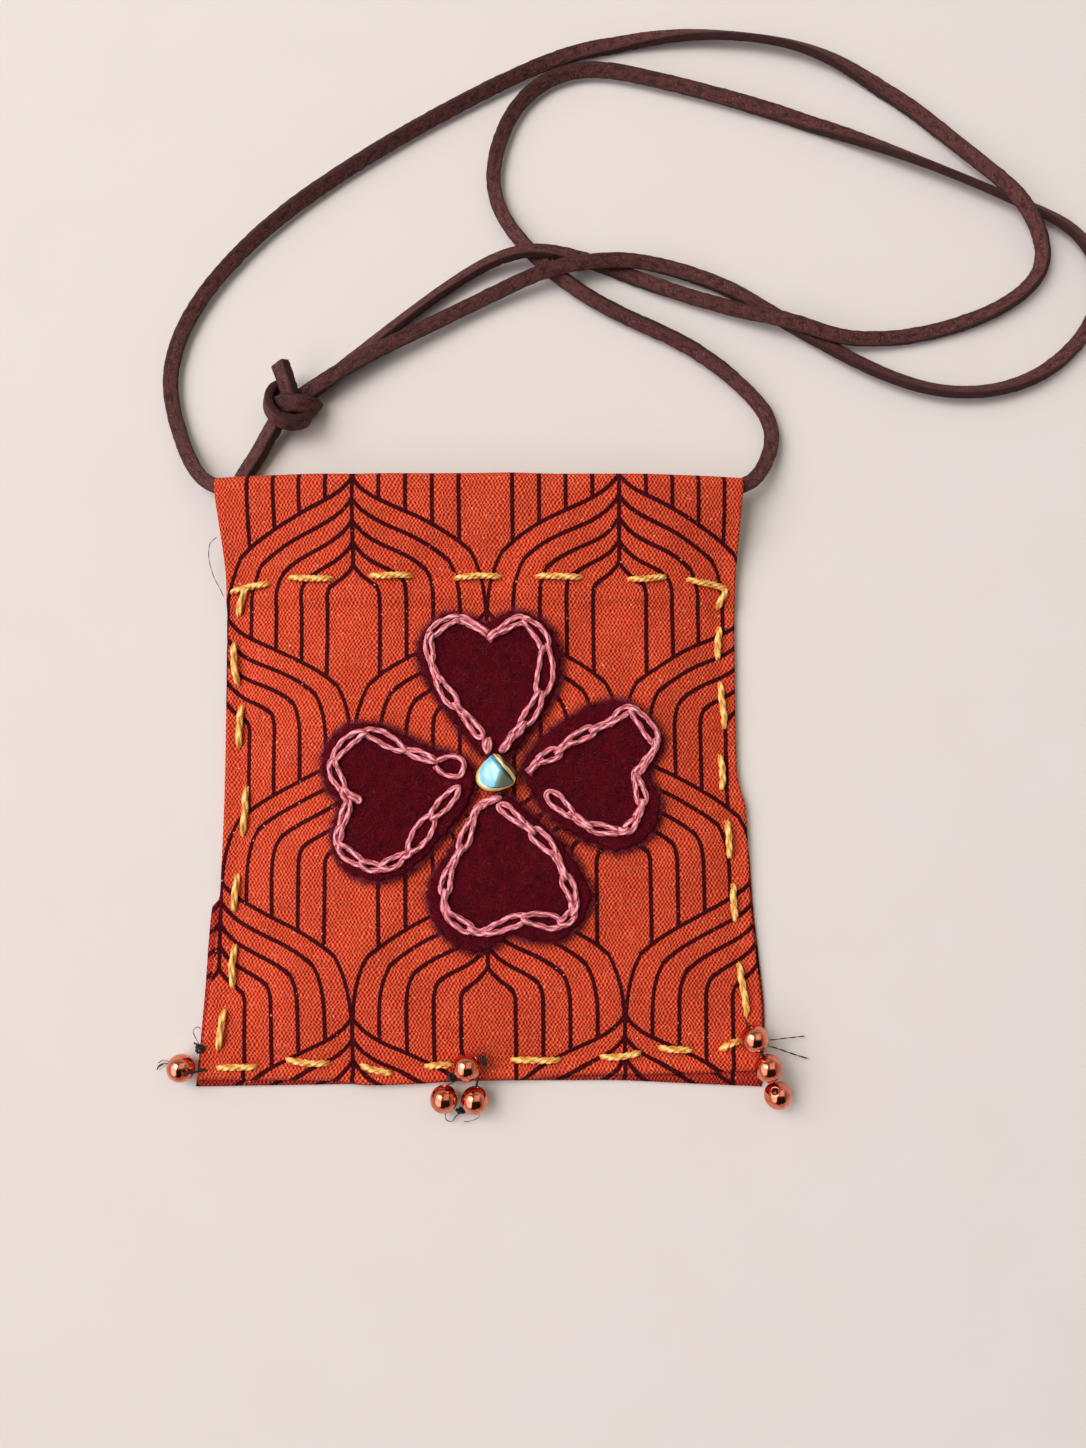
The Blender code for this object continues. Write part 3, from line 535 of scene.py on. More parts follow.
def sideEdges(y, show=False):
    up = np.clip((y - bag["backLow"]) / bag["height"], 0, 1)
    left, right = readLevel(bag["left"], up) - bag["halfWidth"], bag["halfWidth"] - readLevel(bag["right"], up)
    if show:
        left, right = left - readLevel(bag["leftShow"], up), right + readLevel(bag["rightShow"], up)
    return left, right


def placeAcross(y, share, show=False):
    left, right = sideEdges(y, show)
    return (left + right) / 2 + share * (right - left) / 2


def pocketHeight(share, y):
    # base + (depth - base) (1 - |share / reach| ^ power) (1 - low ^ power): a pillow that closes at the seams
    lifted = eased((y - bag["stitchY"]) / (bag["foldY"] - bag["stitchY"]))
    base = bag["clearance"] + (bag["mouthEnd"] - bag["clearance"]) * lifted
    reach = bag["seamShare"] + (1 - bag["seamShare"]) * lifted
    sideways = np.clip(1 - np.abs(share / reach) ** bag["power"], 0, 1)
    low = np.clip(y / bag["seamLow"], 0, 1)
    return base + (bag["pocketDepth"] - base) * sideways * (1 - low ** bag["power"])


def casingLift(y):
    step = (bag["cloth"] + bag["clearance"]) * eased((y - bag["hemY"] + bag["hemRamp"]) / bag["hemRamp"])
    inside = bag["casingHeight"] - bag["clearance"]
    return step + inside * eased((y - bag["stitchY"]) / (bag["foldY"] - bag["stitchY"]))


ruffle = {
    "wave": 0.00021, "edgeX": 0.046, "edgeY": -0.052, "fade": 0.012,
    "dimple": 0.00024, "dimpleReach": 1.3 * mm, "row": 0.00035, "rowReach": 2.2 * mm,
    # the casing's folds above the top row, and the lower cut edge that stands up and rolls down again
    "fold": 0.00016, "foldPitch": 0.0155, "foldY": 0.043, "foldReach": 6 * mm,
    "lip": 0.0013, "lipZone": 3.0 * mm, "rollStart": 0.0003, "roll": 0.0014, "beadsX": -0.001, "beadsReach": 6.5 * mm,
    "cornerX": 0.0465, "cornerFade": 0.005,
}


def relief(x, y):
    # soft waves in the cloth, a dimple where each stitch goes in, a groove along the top row, folds and a lifted lower edge
    r = ruffle
    wave = (np.sin(x * 210 + 1.3 * np.sin(y * 120 + 0.6)) + 0.8 * np.sin(y * 250 + 1.7 * np.sin(x * 140 + 2.0))
            + 0.7 * np.sin((x + y) * 330 + 0.9) + 0.5 * np.sin((x - 0.6 * y) * 520 + 2.2))
    inside = np.clip((r["edgeX"] - np.abs(x)) / r["fade"], 0, 1) * np.clip((y - r["edgeY"]) / r["fade"], 0, 1)
    dimples = sum(bell(np.hypot(x - endX, y - endY), r["dimpleReach"]) for endX, endY in stitchEnds)
    row = bell(y - bag["stitchY"], r["rowReach"])
    fold = np.sin(x * fullTurn / r["foldPitch"] + 0.8) * bell(y - r["foldY"], r["foldReach"])
    fromEdge = y - bag["frontLow"] - readLevel(bag["frontBottom"], x / bag["halfWidth"])
    lip = eased(1 - fromEdge / r["lipZone"]) * eased((fromEdge + r["rollStart"]) / r["roll"])
    lip = lip * (1 - bell(x - r["beadsX"], r["beadsReach"])) * eased((r["cornerX"] - x) / r["cornerFade"])
    return (r["wave"] * wave * inside - r["dimple"] * np.minimum(dimples, 1) - r["row"] * row * inside
            + r["fold"] * fold + r["lip"] * lip)


def clothTop(x, y):
    left, right = sideEdges(y)
    share = (x - (left + right) / 2) / ((right - left) / 2)
    return 2 * bag["cloth"] + pocketHeight(share, y) + casingLift(y) + relief(x, y)


# the neck lace, as one length of suede through the casing, both ends tied into the knot
lace = {
    "width": 2.75 * mm, "thickness": 1.5 * mm, "lying": 0.00125, "spacing": 0.00055, "squeeze": 0.80, "soften": 15,
    "middleHigh": 0.0012, "tableFrom": 0.060,
    # x, y and height of the left strand, casing end to knot, then the right strand
    "left": ((-0.0500, 0.0539, 0.00420), (-0.0524, 0.0559, 0.00350), (-0.0570, 0.0640, 0.00161),
        (-0.0599, 0.0772, 0.00125), (-0.0557, 0.0904, 0.00125), (-0.0451, 0.1039, 0.00125),
        (-0.0301, 0.1165, 0.00125), (-0.0089, 0.1302, 0.00125), (0.0142, 0.1423, 0.00125),
        (0.0309, 0.1466, 0.00125), (0.0478, 0.1474, 0.00125), (0.0660, 0.1440, 0.00125),
        (0.0830, 0.1336, 0.00125), (0.0966, 0.1210, 0.00259), (0.1044, 0.1126, 0.00401),
        (0.1088, 0.1045, 0.00271), (0.1089, 0.0980, 0.00139), (0.1001, 0.0906, 0.00125),
        (0.0850, 0.0856, 0.00125), (0.0700, 0.0844, 0.00271), (0.0600, 0.0874, 0.00401),
        (0.0497, 0.0900, 0.00250), (0.0322, 0.0961, 0.00125), (0.0233, 0.0998, 0.00139),
        (0.0099, 0.1018, 0.00401), (-0.0010, 0.0985, 0.00211), (-0.0140, 0.0891, 0.00125),
        (-0.0240, 0.0808, 0.00125), (-0.0322, 0.0741, 0.00190), (-0.0347, 0.0722, 0.00210)),
    "right": ((0.0500, 0.0539, 0.00420), (0.0525, 0.0562, 0.00350), (0.0563, 0.0652, 0.00161),
        (0.0531, 0.0722, 0.00125), (0.0407, 0.0826, 0.00125), (0.0232, 0.0914, 0.00125),
        (0.0105, 0.1012, 0.00125), (0.0030, 0.1120, 0.00125), (0.0026, 0.1223, 0.00125),
        (0.0080, 0.1340, 0.00125), (0.0190, 0.1401, 0.00125), (0.0350, 0.1378, 0.00125),
        (0.0627, 0.1298, 0.00125), (0.0870, 0.1204, 0.00125), (0.1044, 0.1126, 0.00125),
        (0.1160, 0.1063, 0.00125), (0.1210, 0.0955, 0.00125), (0.1150, 0.0835, 0.00125),
        (0.1040, 0.0756, 0.00125), (0.0900, 0.0738, 0.00125), (0.0763, 0.0780, 0.00125),
        (0.0600, 0.0874, 0.00125), (0.0477, 0.0951, 0.00161), (0.0322, 0.0996, 0.00290),
        (0.0220, 0.0993, 0.00430), (0.0125, 0.0975, 0.00410), (0.0017, 0.0929, 0.00260),
        (-0.0100, 0.0868, 0.00300), (-0.0215, 0.0806, 0.00400), (-0.0318, 0.0739, 0.00440),
        (-0.0345, 0.0720, 0.00400)),
    "casingShares": (-0.90, -0.67, -0.34, 0.0, 0.34, 0.67, 0.90),
    "turns": ((0.0, 10), (0.03, 40), (0.07, 15), (0.10, -35), (0.14, -10), (0.18, 45), (0.22, 15), (0.26, -50), (0.31, 40),
        (0.36, 55), (0.40, 20), (0.44, 0), (0.5, 0), (0.56, 0), (0.59, 45), (0.63, 30), (0.67, -45), (0.72, -20),
        (0.76, 50), (0.80, 25), (0.84, -40), (0.89, -15), (0.93, 35), (0.97, 20), (1.0, 15)),
}


def laceMaterial(name, face, bright, deep, edge):  # map in mm along the lace and once round it, its cut edges at 0 and 0.5
    material, tree, shader = newMaterial(name)
    spot = pieceMap(tree)
    streak = speckle(stretched(spot, (0.55, 22.0, 1)), 1.0, 4.0, 0.6)
    pit = speckle(stretched(spot, (3.2, 34.0, 1)), 1.0, 2.0)
    onEdge = ramped(calc("ABSOLUTE", calc("COSINE", parts(spot)[1] * fullTurn)), 0.78, 0.93)
    colour = mixed(ramped(streak, 0.36, 0.56), deep, face)
    colour = mixed(ramped(pit, 0.56, 0.74) * 0.6, colour, bright)
    colour = mixed(ramped(pit, 0.40, 0.30) * 0.8, colour, deep)
    # the cut edges darker: painted shade on the sides that turn away from the light
    colour = mixed(onEdge * 0.75, colour, edge)
    finished(shader, streak + pit * 0.6, 0.00022, 0.9, colour=colour, rough=0.75, gloss=0.3)
    return material


suede = laceMaterial("suede", tint(84, 44, 41), tint(136, 92, 86), tint(48, 22, 21), tint(40, 17, 16))
shares = np.array(lace["casingShares"])
casingZ = 2 * bag["cloth"] + pocketHeight(shares, bag["foldY"]) + bag["casingHeight"] / 2
casingRoute = spread(shares * bag["halfWidth"], bag["foldY"], casingZ)
laceLine = evenPath(np.concatenate([lace["left"][::-1], casingRoute, lace["right"]]), lace["spacing"])
laceTurn = np.radians(readLevel(lace["turns"], np.linspace(0, 1, len(laceLine))))
widePart, thickPart = lace["width"] / 2 * np.sin(laceTurn), lace["thickness"] / 2 * np.cos(laceTurn)
# on the table the lace lies as low as its turned section lets it, in the casing it keeps its height
lifted = (lace["lying"] + (laceLine[:, 2] - lace["lying"]) * lace["squeeze"]
          + np.hypot(widePart, thickPart) - lace["middleHigh"])
laceLine[:, 2] = np.where(laceLine[:, 1] > lace["tableFrom"], lifted, np.maximum(laceLine[:, 2], lifted))
weights = np.hanning(2 * lace["soften"] + 3)[1:-1]
padded = np.pad(laceLine, ((lace["soften"],) * 2, (0, 0)), mode="reflect", reflect_type="odd")
laceCurve = np.stack([np.convolve(column, weights / weights.sum(), mode="valid") for column in padded.T], axis=-1)
cornerLow = np.abs(widePart) + np.abs(thickPart)
laceCurve[:, 2] = np.maximum(laceCurve[:, 2], 1.03 * cornerLow + 0.05 * mm)
laceProfile = cutProfile(boxProfile(lace["width"], lace["thickness"]), len(laceCurve), 3)
neckLace = addPiece("neckLace", carried(laceCurve, laceProfile, laceTurn), suede, ["neck_cord"])

# the knot: bands of the same lace round a core, a cut stub and the tail, points in mm
knot = {
    "centre": (-36.2, 70.5, 2.4), "core": (3.5, 3.7, 2.2),
    # each band: its turn in degrees, width and thickness, then the points of its middle line
    "stub": (38, 3.3, 2.1, ((-35.2, 69.4, 2.2), (-35.5, 71.2, 3.8), (-36.4, 74.2, 4.9), (-37.7, 78.0, 5.2))),
    "frontBand": (-12, 3.1, 1.6, ((-36.4, 74.2, 1.6), (-38.8, 73.9, 3.1), (-39.9, 71.8, 4.4), (-39.6, 69.3, 5.0),
        (-38.0, 67.3, 5.3), (-35.9, 66.4, 5.2), (-33.8, 66.9, 4.3), (-32.6, 68.2, 3.0),
        (-32.8, 69.8, 1.6))),
    "sideBand": (-34, 3.3, 1.8, ((-38.6, 70.3, 3.4), (-37.0, 70.5, 4.6), (-34.8, 70.3, 5.1), (-32.7, 70.3, 4.5),
        (-31.8, 70.4, 3.0), (-31.6, 70.4, 1.6))),
    "tail": (-26, 3.1, 1.9, ((-37.4, 69.4, 3.0), (-38.6, 67.3, 2.9), (-40.5, 64.4, 2.3), (-42.2, 61.6, 1.6),
        (-44.1, 58.4, 1.60), (-45.6, 55.6, 1.55), (-46.2, 52.8, 1.55), (-46.4, 51.2, 1.55))),
}
knotMiddle = np.array(knot["centre"]) * mm
knotBands = []
for part in ("stub", "frontBand", "sideBand", "tail"):
    turn, wide, thick, points = knot[part]
    line = evenPath(np.array(points) * mm, 0.3 * mm)
    lift = unit(line - knotMiddle) if part == "frontBand" else (0.0, 0.0, 1.0)
    profile = cutProfile(boxProfile(wide * mm, thick * mm), len(line), len(part))
    knotBands.append(carried(line, profile, math.radians(turn), lift=lift))
latitude = np.linspace(0.02, np.pi - 0.02, 16)[:, None]
longitude = np.linspace(0, fullTurn, 24, endpoint=False)[None, :]
ball = spread(np.sin(latitude) * np.cos(longitude), np.sin(latitude) * np.sin(longitude), np.cos(latitude))
knotBands.append(gridSurface(ball * np.array(knot["core"]) * mm + knotMiddle, latitude, np.linspace(0, 1, 25)[None, :],
                             wrap=True, caps=True))
laceKnot = addPiece("laceKnot", joined(knotBands), suede, ["cord_knot", "cord_tail"])
print("neck lace and knot made, lace", round(float(runAlong(laceCurve)[-1]), 3), "m")


# the two panels: the same cotton, the back one a darker copy with the front one's shade painted into its colours
cotton = clothMaterial("printedCotton", tint(226, 74, 42), tint(255, 128, 88), tint(120, 12, 8), tint(56, 2, 10))
# painted shade: the back panel's cotton is darker only to stand in for the front panel's shadow
paintedShadeCotton = clothMaterial("paintedShadeCotton", tint(180, 46, 34), tint(216, 88, 66), tint(94, 8, 8), tint(46, 2, 8))
panelGrid = {"across": 170, "up": 190, "turn": 16, "hem": 12, "back": 90, "wall": 0.0004, "backWall": 0.00045,
             "backShift": 0.0045}


def frontPanelSurface():
    # up the front, over the fold with y = fold + r sin t and lift = r (1 + cos t), then down behind to the hem
    share = np.linspace(-1, 1, panelGrid["across"])[None, :]
    y = np.linspace(bag["frontLow"], bag["foldY"], panelGrid["up"])[:, None]
    yMoved = y + readLevel(bag["frontBottom"], share) * eased(1 - (y - bag["frontLow"]) / bag["bottomFade"])
    x = placeAcross(y, share)
    low = 1.5 * bag["cloth"]
    z = low + pocketHeight(share, y) + casingLift(y) + relief(x, yMoved)
    turn = np.linspace(0, np.pi, panelGrid["turn"])[1:, None]
    r, fold = bag["foldRadius"], bag["foldY"]
    zBack = low + pocketHeight(share, fold)
    zTurn = zBack + (z[-1:] - zBack) * (1 + np.cos(turn)) / 2
    yHem = np.linspace(fold, bag["hemY"], panelGrid["hem"])[1:, None]
    points = np.concatenate([spread(x, yMoved, z), spread(placeAcross(fold, share), fold + r * np.sin(turn), zTurn),
                             spread(placeAcross(yHem, share), yHem, low + pocketHeight(share, yHem))])
    along = [np.broadcast_to(way, (len(way), panelGrid["across"]))
             for way in (yMoved, fold + r * turn, fold + r * np.pi + (fold - yHem))]
    return gridSurface(points, points[..., 0] / mm, np.concatenate(along) / mm)


def backPanelSurface():
    share = np.linspace(-1, 1, panelGrid["back"])[None, :]
    y = np.linspace(bag["backLow"], bag["backTop"], panelGrid["back"])[:, None]
    yMoved = y + readLevel(bag["backBottom"], share) * eased(1 - (y - bag["backLow"]) / bag["bottomFade"])
    x = placeAcross(y, share, True)
    return gridSurface(spread(x, yMoved, bag["cloth"] / 2), (panelGrid["backShift"] - x) / mm, yMoved / mm)


def walled(piece, thickness):
    wall = piece.modifiers.new("wall", "SOLIDIFY")
    wall.thickness = thickness
    wall.offset = 0
    return piece


frontPanel = walled(addPiece("frontPanel", frontPanelSurface(), cotton, ["front_panel"]),
                    panelGrid["wall"])
backPanel = walled(addPiece("backPanel", backPanelSurface(), paintedShadeCotton, ["back_panel"]),
                   panelGrid["backWall"])
print("panels made")

# felt hearts, outlines in mm from the notch round
feltHeart = {
    "thickness": 1.2 * mm, "round": 260, "hairs": 850, "rimHairs": 4.2, "gap": 0.22 * mm,
    "hair": 0.022 * mm, "rimHair": 0.038 * mm,
    "top": ((1.6, 27.8), (-1.3, 28.9), (-5.4, 29.6), (-8.6, 27.6), (-10.6, 23.7), (-10.4, 20.1), (-8.7, 16.6),
        (-3.9, 9.6), (-1.0, 5.8), (1.5, 3.8), (6.4, 4.4), (10.6, 9.6), (14.0, 14.9), (15.1, 19.1), (14.7, 23.4),
        (12.4, 27.6), (7.8, 29.7), (4.1, 29.1)),
    "left": ((-24.4, 8.4), (-27.9, 3.6), (-27.2, -2.5), (-24.8, -4.8), (-26.0, -11.6), (-23.4, -16.9),
        (-17.8, -18.9), (-12.6, -17.3), (-8.6, -13.9), (-0.8, -3.8), (-1.9, 2.6), (-8.8, 5.1), (-15.9, 8.4),
        (-20.2, 9.3)),
    "right": ((8.6, 1.8), (11.8, 6.7), (17.4, 10.7), (21.2, 12.7), (25.8, 13.6), (29.4, 12.0), (33.3, 8.0),
        (33.5, 4.9), (31.3, 0.6), (32.9, -3.6), (33.0, -6.8), (31.0, -10.9), (26.0, -13.4), (21.7, -12.3),
        (16.3, -9.8), (12.9, -6.8), (10.4, -3.6)),
    "bottom": ((4.8, -3.6), (0.9, -6.6), (-4.3, -13.2), (-7.6, -18.0), (-8.5, -21.9), (-7.2, -26.3), (-3.6, -30.3),
        (0.1, -31.4), (3.8, -30.3), (6.0, -28.2), (9.9, -29.3), (14.5, -29.4), (18.2, -27.0), (20.5, -22.2),
        (19.0, -17.8), (15.6, -12.7), (12.2, -9.3), (7.5, -5.2)),
    "middle": {"top": (2.0, 19.5), "left": (-15.5, -5.2), "right": (22.0, 0.2), "bottom": (5.2, -17.6)},
}
heartNames = ("top", "left", "right", "bottom")
felt = napMaterial("wineFelt", tint(88, 4, 18), tint(108, 17, 34), tint(60, 2, 11), 420.0, 3400.0, 0.00030)
# the loose hairs are a lighter copy of the felt's colour: painted bounce light caught by the fibres
hairMaterial = napMaterial("feltHair", tint(108, 14, 32), tint(160, 72, 88), tint(76, 4, 17), 260.0, 900.0, 0.00001)


def closedPath(outline, count):
    outline = np.asarray(outline, float)
    ring = np.concatenate([outline[-2:], outline, outline[:3]])
    fine = smoothPath(ring, 12)[24:24 + 12 * len(outline) + 1]
    run = runAlong(fine)
    return readAt(np.linspace(0, run[-1], count, endpoint=False), run, fine)


def feltTop(x, y):
    return clothTop(x, y) + feltHeart["gap"] + feltHeart["thickness"]


def feltSurface(outline, middle, rng):
    # point = middle + v (outline - middle), height a plateau that rolls over at v = 1 and comes back underneath
    edge = closedPath(outline, feltHeart["round"]) * mm
    ragged = np.convolve(np.pad(rng.normal(0, 1, len(edge)), 1, mode="wrap"), [0.25, 0.5, 0.25], mode="valid")
    around = np.linspace(0, fullTurn, len(edge), endpoint=False)
    uneven = 0.16 * np.sin(around * 17 + rng.uniform(0, 6)) + 0.12 * np.sin(around * 41 + rng.uniform(0, 6))
    edge = edge + unit(edge - middle) * ((0.13 * ragged + uneven) * mm)[:, None]
    v = np.concatenate([np.linspace(0.01, 0.93, 26), [0.955, 0.975, 0.99, 1.0, 0.99, 0.97], np.linspace(0.9, 0.01, 10)])
    high = np.concatenate([np.ones(26), [0.99, 0.93, 0.78, 0.45, 0.14, 0.02], np.zeros(10)])
    flat = middle + v[:, None, None] * (edge - middle)[None]
    x, y = flat[..., 0], flat[..., 1]
    lumps = 0.11 * mm * np.sin(x * 2900 + 2 * np.sin(y * 1700)) * np.sin(y * 2500 + 1.5 * np.sin(x * 1900))
    z = clothTop(x, y) + feltHeart["gap"] + (feltHeart["thickness"] + lumps) * high[:, None]
    return gridSurface(spread(x, y, z), v[:, None] * 10, np.linspace(0, 60, len(edge) + 1)[None, :], wrap=True, caps=True)


def hairSurface(starts, ways, lengths, bends, base, thick):
    # each hair: start + way s + bend across s s, s from 0 to its length, three-sided and thinner to its tip
    share = np.linspace(0, 1, 3)
    across = np.stack([-ways[:, 1], ways[:, 0]], axis=-1)
    flat = (starts[:, None] + ways[:, None] * share[None, :, None] * lengths[:, None, None]
            + across[:, None] * (share ** 2)[None, :, None] * (bends * lengths)[:, None, None])
    x, y = flat[..., 0], flat[..., 1]
    arch = 0.28 * mm * np.sin(np.pi * share)[None, :] * (0.3 + np.abs(bends))[:, None]
    angle = np.array([0.0, 2.1, 4.2])
    size = thick * (1 - 0.7 * share)[None, :, None]
    side = across[:, None, None] * (np.cos(angle) * size)[..., None]
    up = np.broadcast_to(np.sin(angle) * size, side.shape[:-1])
    rings = spread(x, y, base(x, y) + 0.04 * mm + arch)[:, :, None] + np.concatenate([side, up[..., None]], axis=-1)
    index = np.arange(up.size).reshape(up.shape)
    nextOne = np.roll(index, -1, axis=2)
    quads = np.stack([index[:, :-1], nextOne[:, :-1], nextOne[:, 1:], index[:, 1:]], axis=-1).reshape(-1, 4)
    caps = np.concatenate([index[:, 0, ::-1], index[:, -1]])
    return rings.reshape(-1, 3), quads.tolist() + caps.tolist(), np.zeros((quads.size + caps.size, 2))


def outlineArea(outline):
    edge = closedPath(outline, 200) * mm
    return float(abs(np.sum(edge[:, 0] * np.roll(edge[:, 1], -1) - np.roll(edge[:, 0], -1) * edge[:, 1])) / 2)


for order, heart in enumerate(heartNames):
    rng = np.random.default_rng(40 + order)
    outline, middle = feltHeart[heart], np.array(feltHeart["middle"][heart]) * mm
    piece = addPiece("feltHeart" + heart.capitalize(), feltSurface(outline, middle, rng), felt,
                     ["heart_" + heart])
    wide = np.ptp(np.array(outline), axis=0) * mm
    min(outlineArea(outline), float(np.prod(wide)))
    edge, count = closedPath(outline, 600) * mm, feltHeart["hairs"]
    pick = edge[rng.integers(0, len(edge), count)]
    inner = middle + (pick - middle) * np.sqrt(rng.uniform(0.02, 0.93, count))[:, None]
    way = rng.uniform(0, fullTurn, count)
    onFelt = hairSurface(inner, np.stack([np.cos(way), np.sin(way)], axis=-1), rng.uniform(0.8, 3.0, count) * mm,
                         rng.uniform(-0.5, 0.5, count), feltTop, feltHeart["hair"])
    count = int(count * feltHeart["rimHairs"])
    rim = edge[rng.integers(0, len(edge), count)]
    out = unit(rim - middle)
    swing = rng.uniform(-1.1, 1.1, count)
    out = np.stack([out[:, 0] * np.cos(swing) - out[:, 1] * np.sin(swing),
                    out[:, 0] * np.sin(swing) + out[:, 1] * np.cos(swing)], axis=-1)
    onRim = hairSurface(rim - out * 0.2 * mm, out, rng.uniform(0.5, 1.7, count) * mm, rng.uniform(-0.8, 0.8, count),
                        lambda x, y: clothTop(x, y) + 0.5 * mm, feltHeart["rimHair"])
    addPiece("feltFuzz" + heart.capitalize(), joined([onFelt, onRim]), hairMaterial)
print("felt hearts made")

# chain stitch in pink floss: links as x, y in mm and the width of the link that starts there
chainStitch = {
    "thread": 0.98, "turnLength": 8.5, "overlap": 0.5, "squeeze": 0.92,
    "top": (
        ((2.1, 25.7, 2.0), (-3.5, 28.5, 2.6), (-8.4, 25.5, 2.3), (-8.4, 21.3, 1.6), (-7.0, 17.3, 3.1),
        (-3.9, 12.7, 1.5), (-2.3, 11.0, 2.5), (1.0, 6.8, 0.0)),
        ((2.0, 6.6, 1.8), (2.0, 4.0, 0.0)),
        ((2.1, 24.7, 0.9), (4.2, 26.3, 2.4), (8.6, 28.1, 3.1), (12.4, 23.2, 4.0), (11.6, 14.8, 3.1),
        (8.4, 9.2, 2.0), (6.6, 7.1, 1.3), (4.5, 4.3, 0.0)),
    ),
    "left": (
        ((-7.4, 1.9, 5.0), (-2.2, 1.3, 0.0)),
        ((-7.2, 2.5, 2.1), (-13.0, 4.6, 3.0), (-20.3, 7.6, 2.6), (-25.8, 2.5, 2.7), (-23.9, -2.6, 1.9),
        (-23.0, -4.9, 2.1), (-24.2, -9.4, 1.9), (-24.4, -12.6, 2.7), (-20.3, -15.7, 2.3),
        (-16.6, -16.4, 2.6), (-12.9, -14.5, 1.4), (-11.7, -13.5, 4.0), (-7.8, -7.6, 3.0), (-3.1, -2.2, 0.0)),
        ((-23.0, -3.4, 1.2), (-20.9, -4.6, 0.0)),
    ),
    "right": (
        ((9.4, 0.5, 1.2), (11.5, 2.7, 3.1), (14.7, 4.2, 1.3), (16.6, 5.9, 2.9), (21.0, 8.2, 1.3),
        (24.2, 9.6, 2.4), (27.9, 11.7, 3.3), (32.3, 6.1, 1.6), (30.3, 2.2, 2.0), (28.8, -0.0, 2.1),
        (29.1, -1.3, 2.9), (29.8, -4.9, 1.4), (28.6, -7.9, 2.4), (27.0, -9.8, 1.3), (25.1, -10.0, 2.7),
        (20.4, -9.2, 1.8), (17.1, -7.0, 3.4), (12.8, -3.2, 0.0)),
    ),
    "bottom": (
        ((4.3, -3.9, 1.2), (0.6, -5.6, 1.4), (-0.8, -8.4, 2.9), (-2.6, -13.0, 1.5), (-4.7, -17.1, 2.8),
        (-5.5, -20.9, 1.6), (-5.0, -24.5, 2.8), (-0.9, -27.4, 1.6), (2.0, -27.8, 3.0), (8.6, -25.5, 3.5),
        (15.1, -26.2, 2.6), (17.2, -24.5, 2.1), (17.4, -22.0, 3.0), (15.9, -18.2, 1.5), (14.0, -13.9, 3.3),
        (10.2, -10.1, 1.4), (8.3, -8.6, 2.6), (4.2, -5.3, 0.0)),
    ),
}
pinkFloss = threadMaterial("pinkFloss", tint(255, 200, 204), tint(222, 114, 124), tint(128, 32, 48), 3.0, 8.5, 0.36)


def linkSurface(path, start, stop, width, phase):
    # along = start + length (1 + cos t) / 2, across = half width sin t cos(t / 2) ^ 0.6, t from -pi to pi: a teardrop
    thread = chainStitch["thread"] * mm
    t = np.linspace(-np.pi * 0.985, np.pi * 0.985, 64)
    share = (1 + np.cos(t)) / 2
    at, run = start + (stop - start) * share, runAlong(path)
    line, ahead = readAt(at, run, path), readAt(at, run, unit(np.gradient(path, axis=0)))
    aside = np.sin(t) * np.cos(t / 2) ** 0.6
    aside = aside / np.abs(aside).max() * max(width * chainStitch["squeeze"] * mm - thread, 0.5 * mm) / 2
    aside = aside + np.sign(t) * 0.16 * mm * (1 - share) + 0.11 * mm * np.sin(t * 2.6 + phase * 9)
    x, y = line[:, 0] - ahead[:, 1] * aside, line[:, 1] + ahead[:, 0] * aside
    length = (stop - start) * share
    hop = bell(length - 0.9 * mm, 0.8 * mm)  # over the end of the link before
    dive = 1 - eased(length / (0.5 * mm))
    centres = spread(x, y, feltTop(x, y) + thread * (0.42 + 0.55 * hop - 0.75 * dive))
    walk = runAlong(centres)
    turn = phase + walk / (chainStitch["turnLength"] * mm) * fullTurn
    swell = 1 + 0.10 * np.sin(walk * 1500 + phase * 5) * np.sin(walk * 610 + phase)  # the hand-pulled floss is uneven
    return carried(centres, plyProfile(thread / 2, 3, turn, 15) * np.array([1.08, 0.86]), 0.0, swell)


for heart in heartNames:
    links = []
    for number, chain in enumerate(chainStitch[heart]):
        nodes = np.array(chain)
        path = smoothPath(nodes[:, :2] * mm, 20)
        run = runAlong(path)[::20]
        for link in range(len(nodes) - 1):
            start = max(run[link] - chainStitch["overlap"] * mm, 0) if link else run[link]
            stop = min(run[link + 1] + chainStitch["overlap"] * 0.6 * mm, run[-1])
            links.append(linkSurface(path, start, stop, nodes[link, 2], 0.7 * link + number))
    addPiece("chainStitch" + heart.capitalize(), joined(links), pinkFloss, ["heart_chain_" + heart])
print("chain stitch made")

yellowFloss = threadMaterial("yellowFloss", tint(255, 226, 146), tint(244, 186, 88), tint(204, 126, 40), 2.0, 4.0, 0.5)


def stitchSurface(stitch, phase, turnLength):
    # out of the cloth at one end, over a low hump and in again at the other, plies turning once each turn length
    ends = np.array(stitch).reshape(2, 2) * mm
    share = np.linspace(0, 1, 40)
    fromEnd = np.minimum(share, 1 - share)
    way = ends[1] - ends[0]
    across = np.array([-way[1], way[0]]) / np.linalg.norm(way)
    flat = ends[0] + way * share[:, None] + across * (0.13 * mm * np.sin(share * 5.1 + phase))[:, None]
    radius = runningStitch["width"] * mm / 2
    dive = np.clip(1 - fromEnd / 0.10, 0, 1) ** 2
    hump = np.sin(np.pi * share) ** 0.7 * runningStitch["rise"] * mm
    z = clothTop(flat[:, 0], flat[:, 1]) + radius * 0.8 + hump - dive * 1.15 * radius
    turn = phase + share * np.linalg.norm(way) / (turnLength * mm) * fullTurn
    swell = 1 - 0.42 * np.clip(1 - fromEnd / 0.16, 0, 1) ** 1.5
    centres = np.concatenate([flat, z[:, None]], axis=1)
    return carried(centres, plyProfile(radius, 3, turn, 18) * np.array([1.0, 0.85]), 0.0, swell)


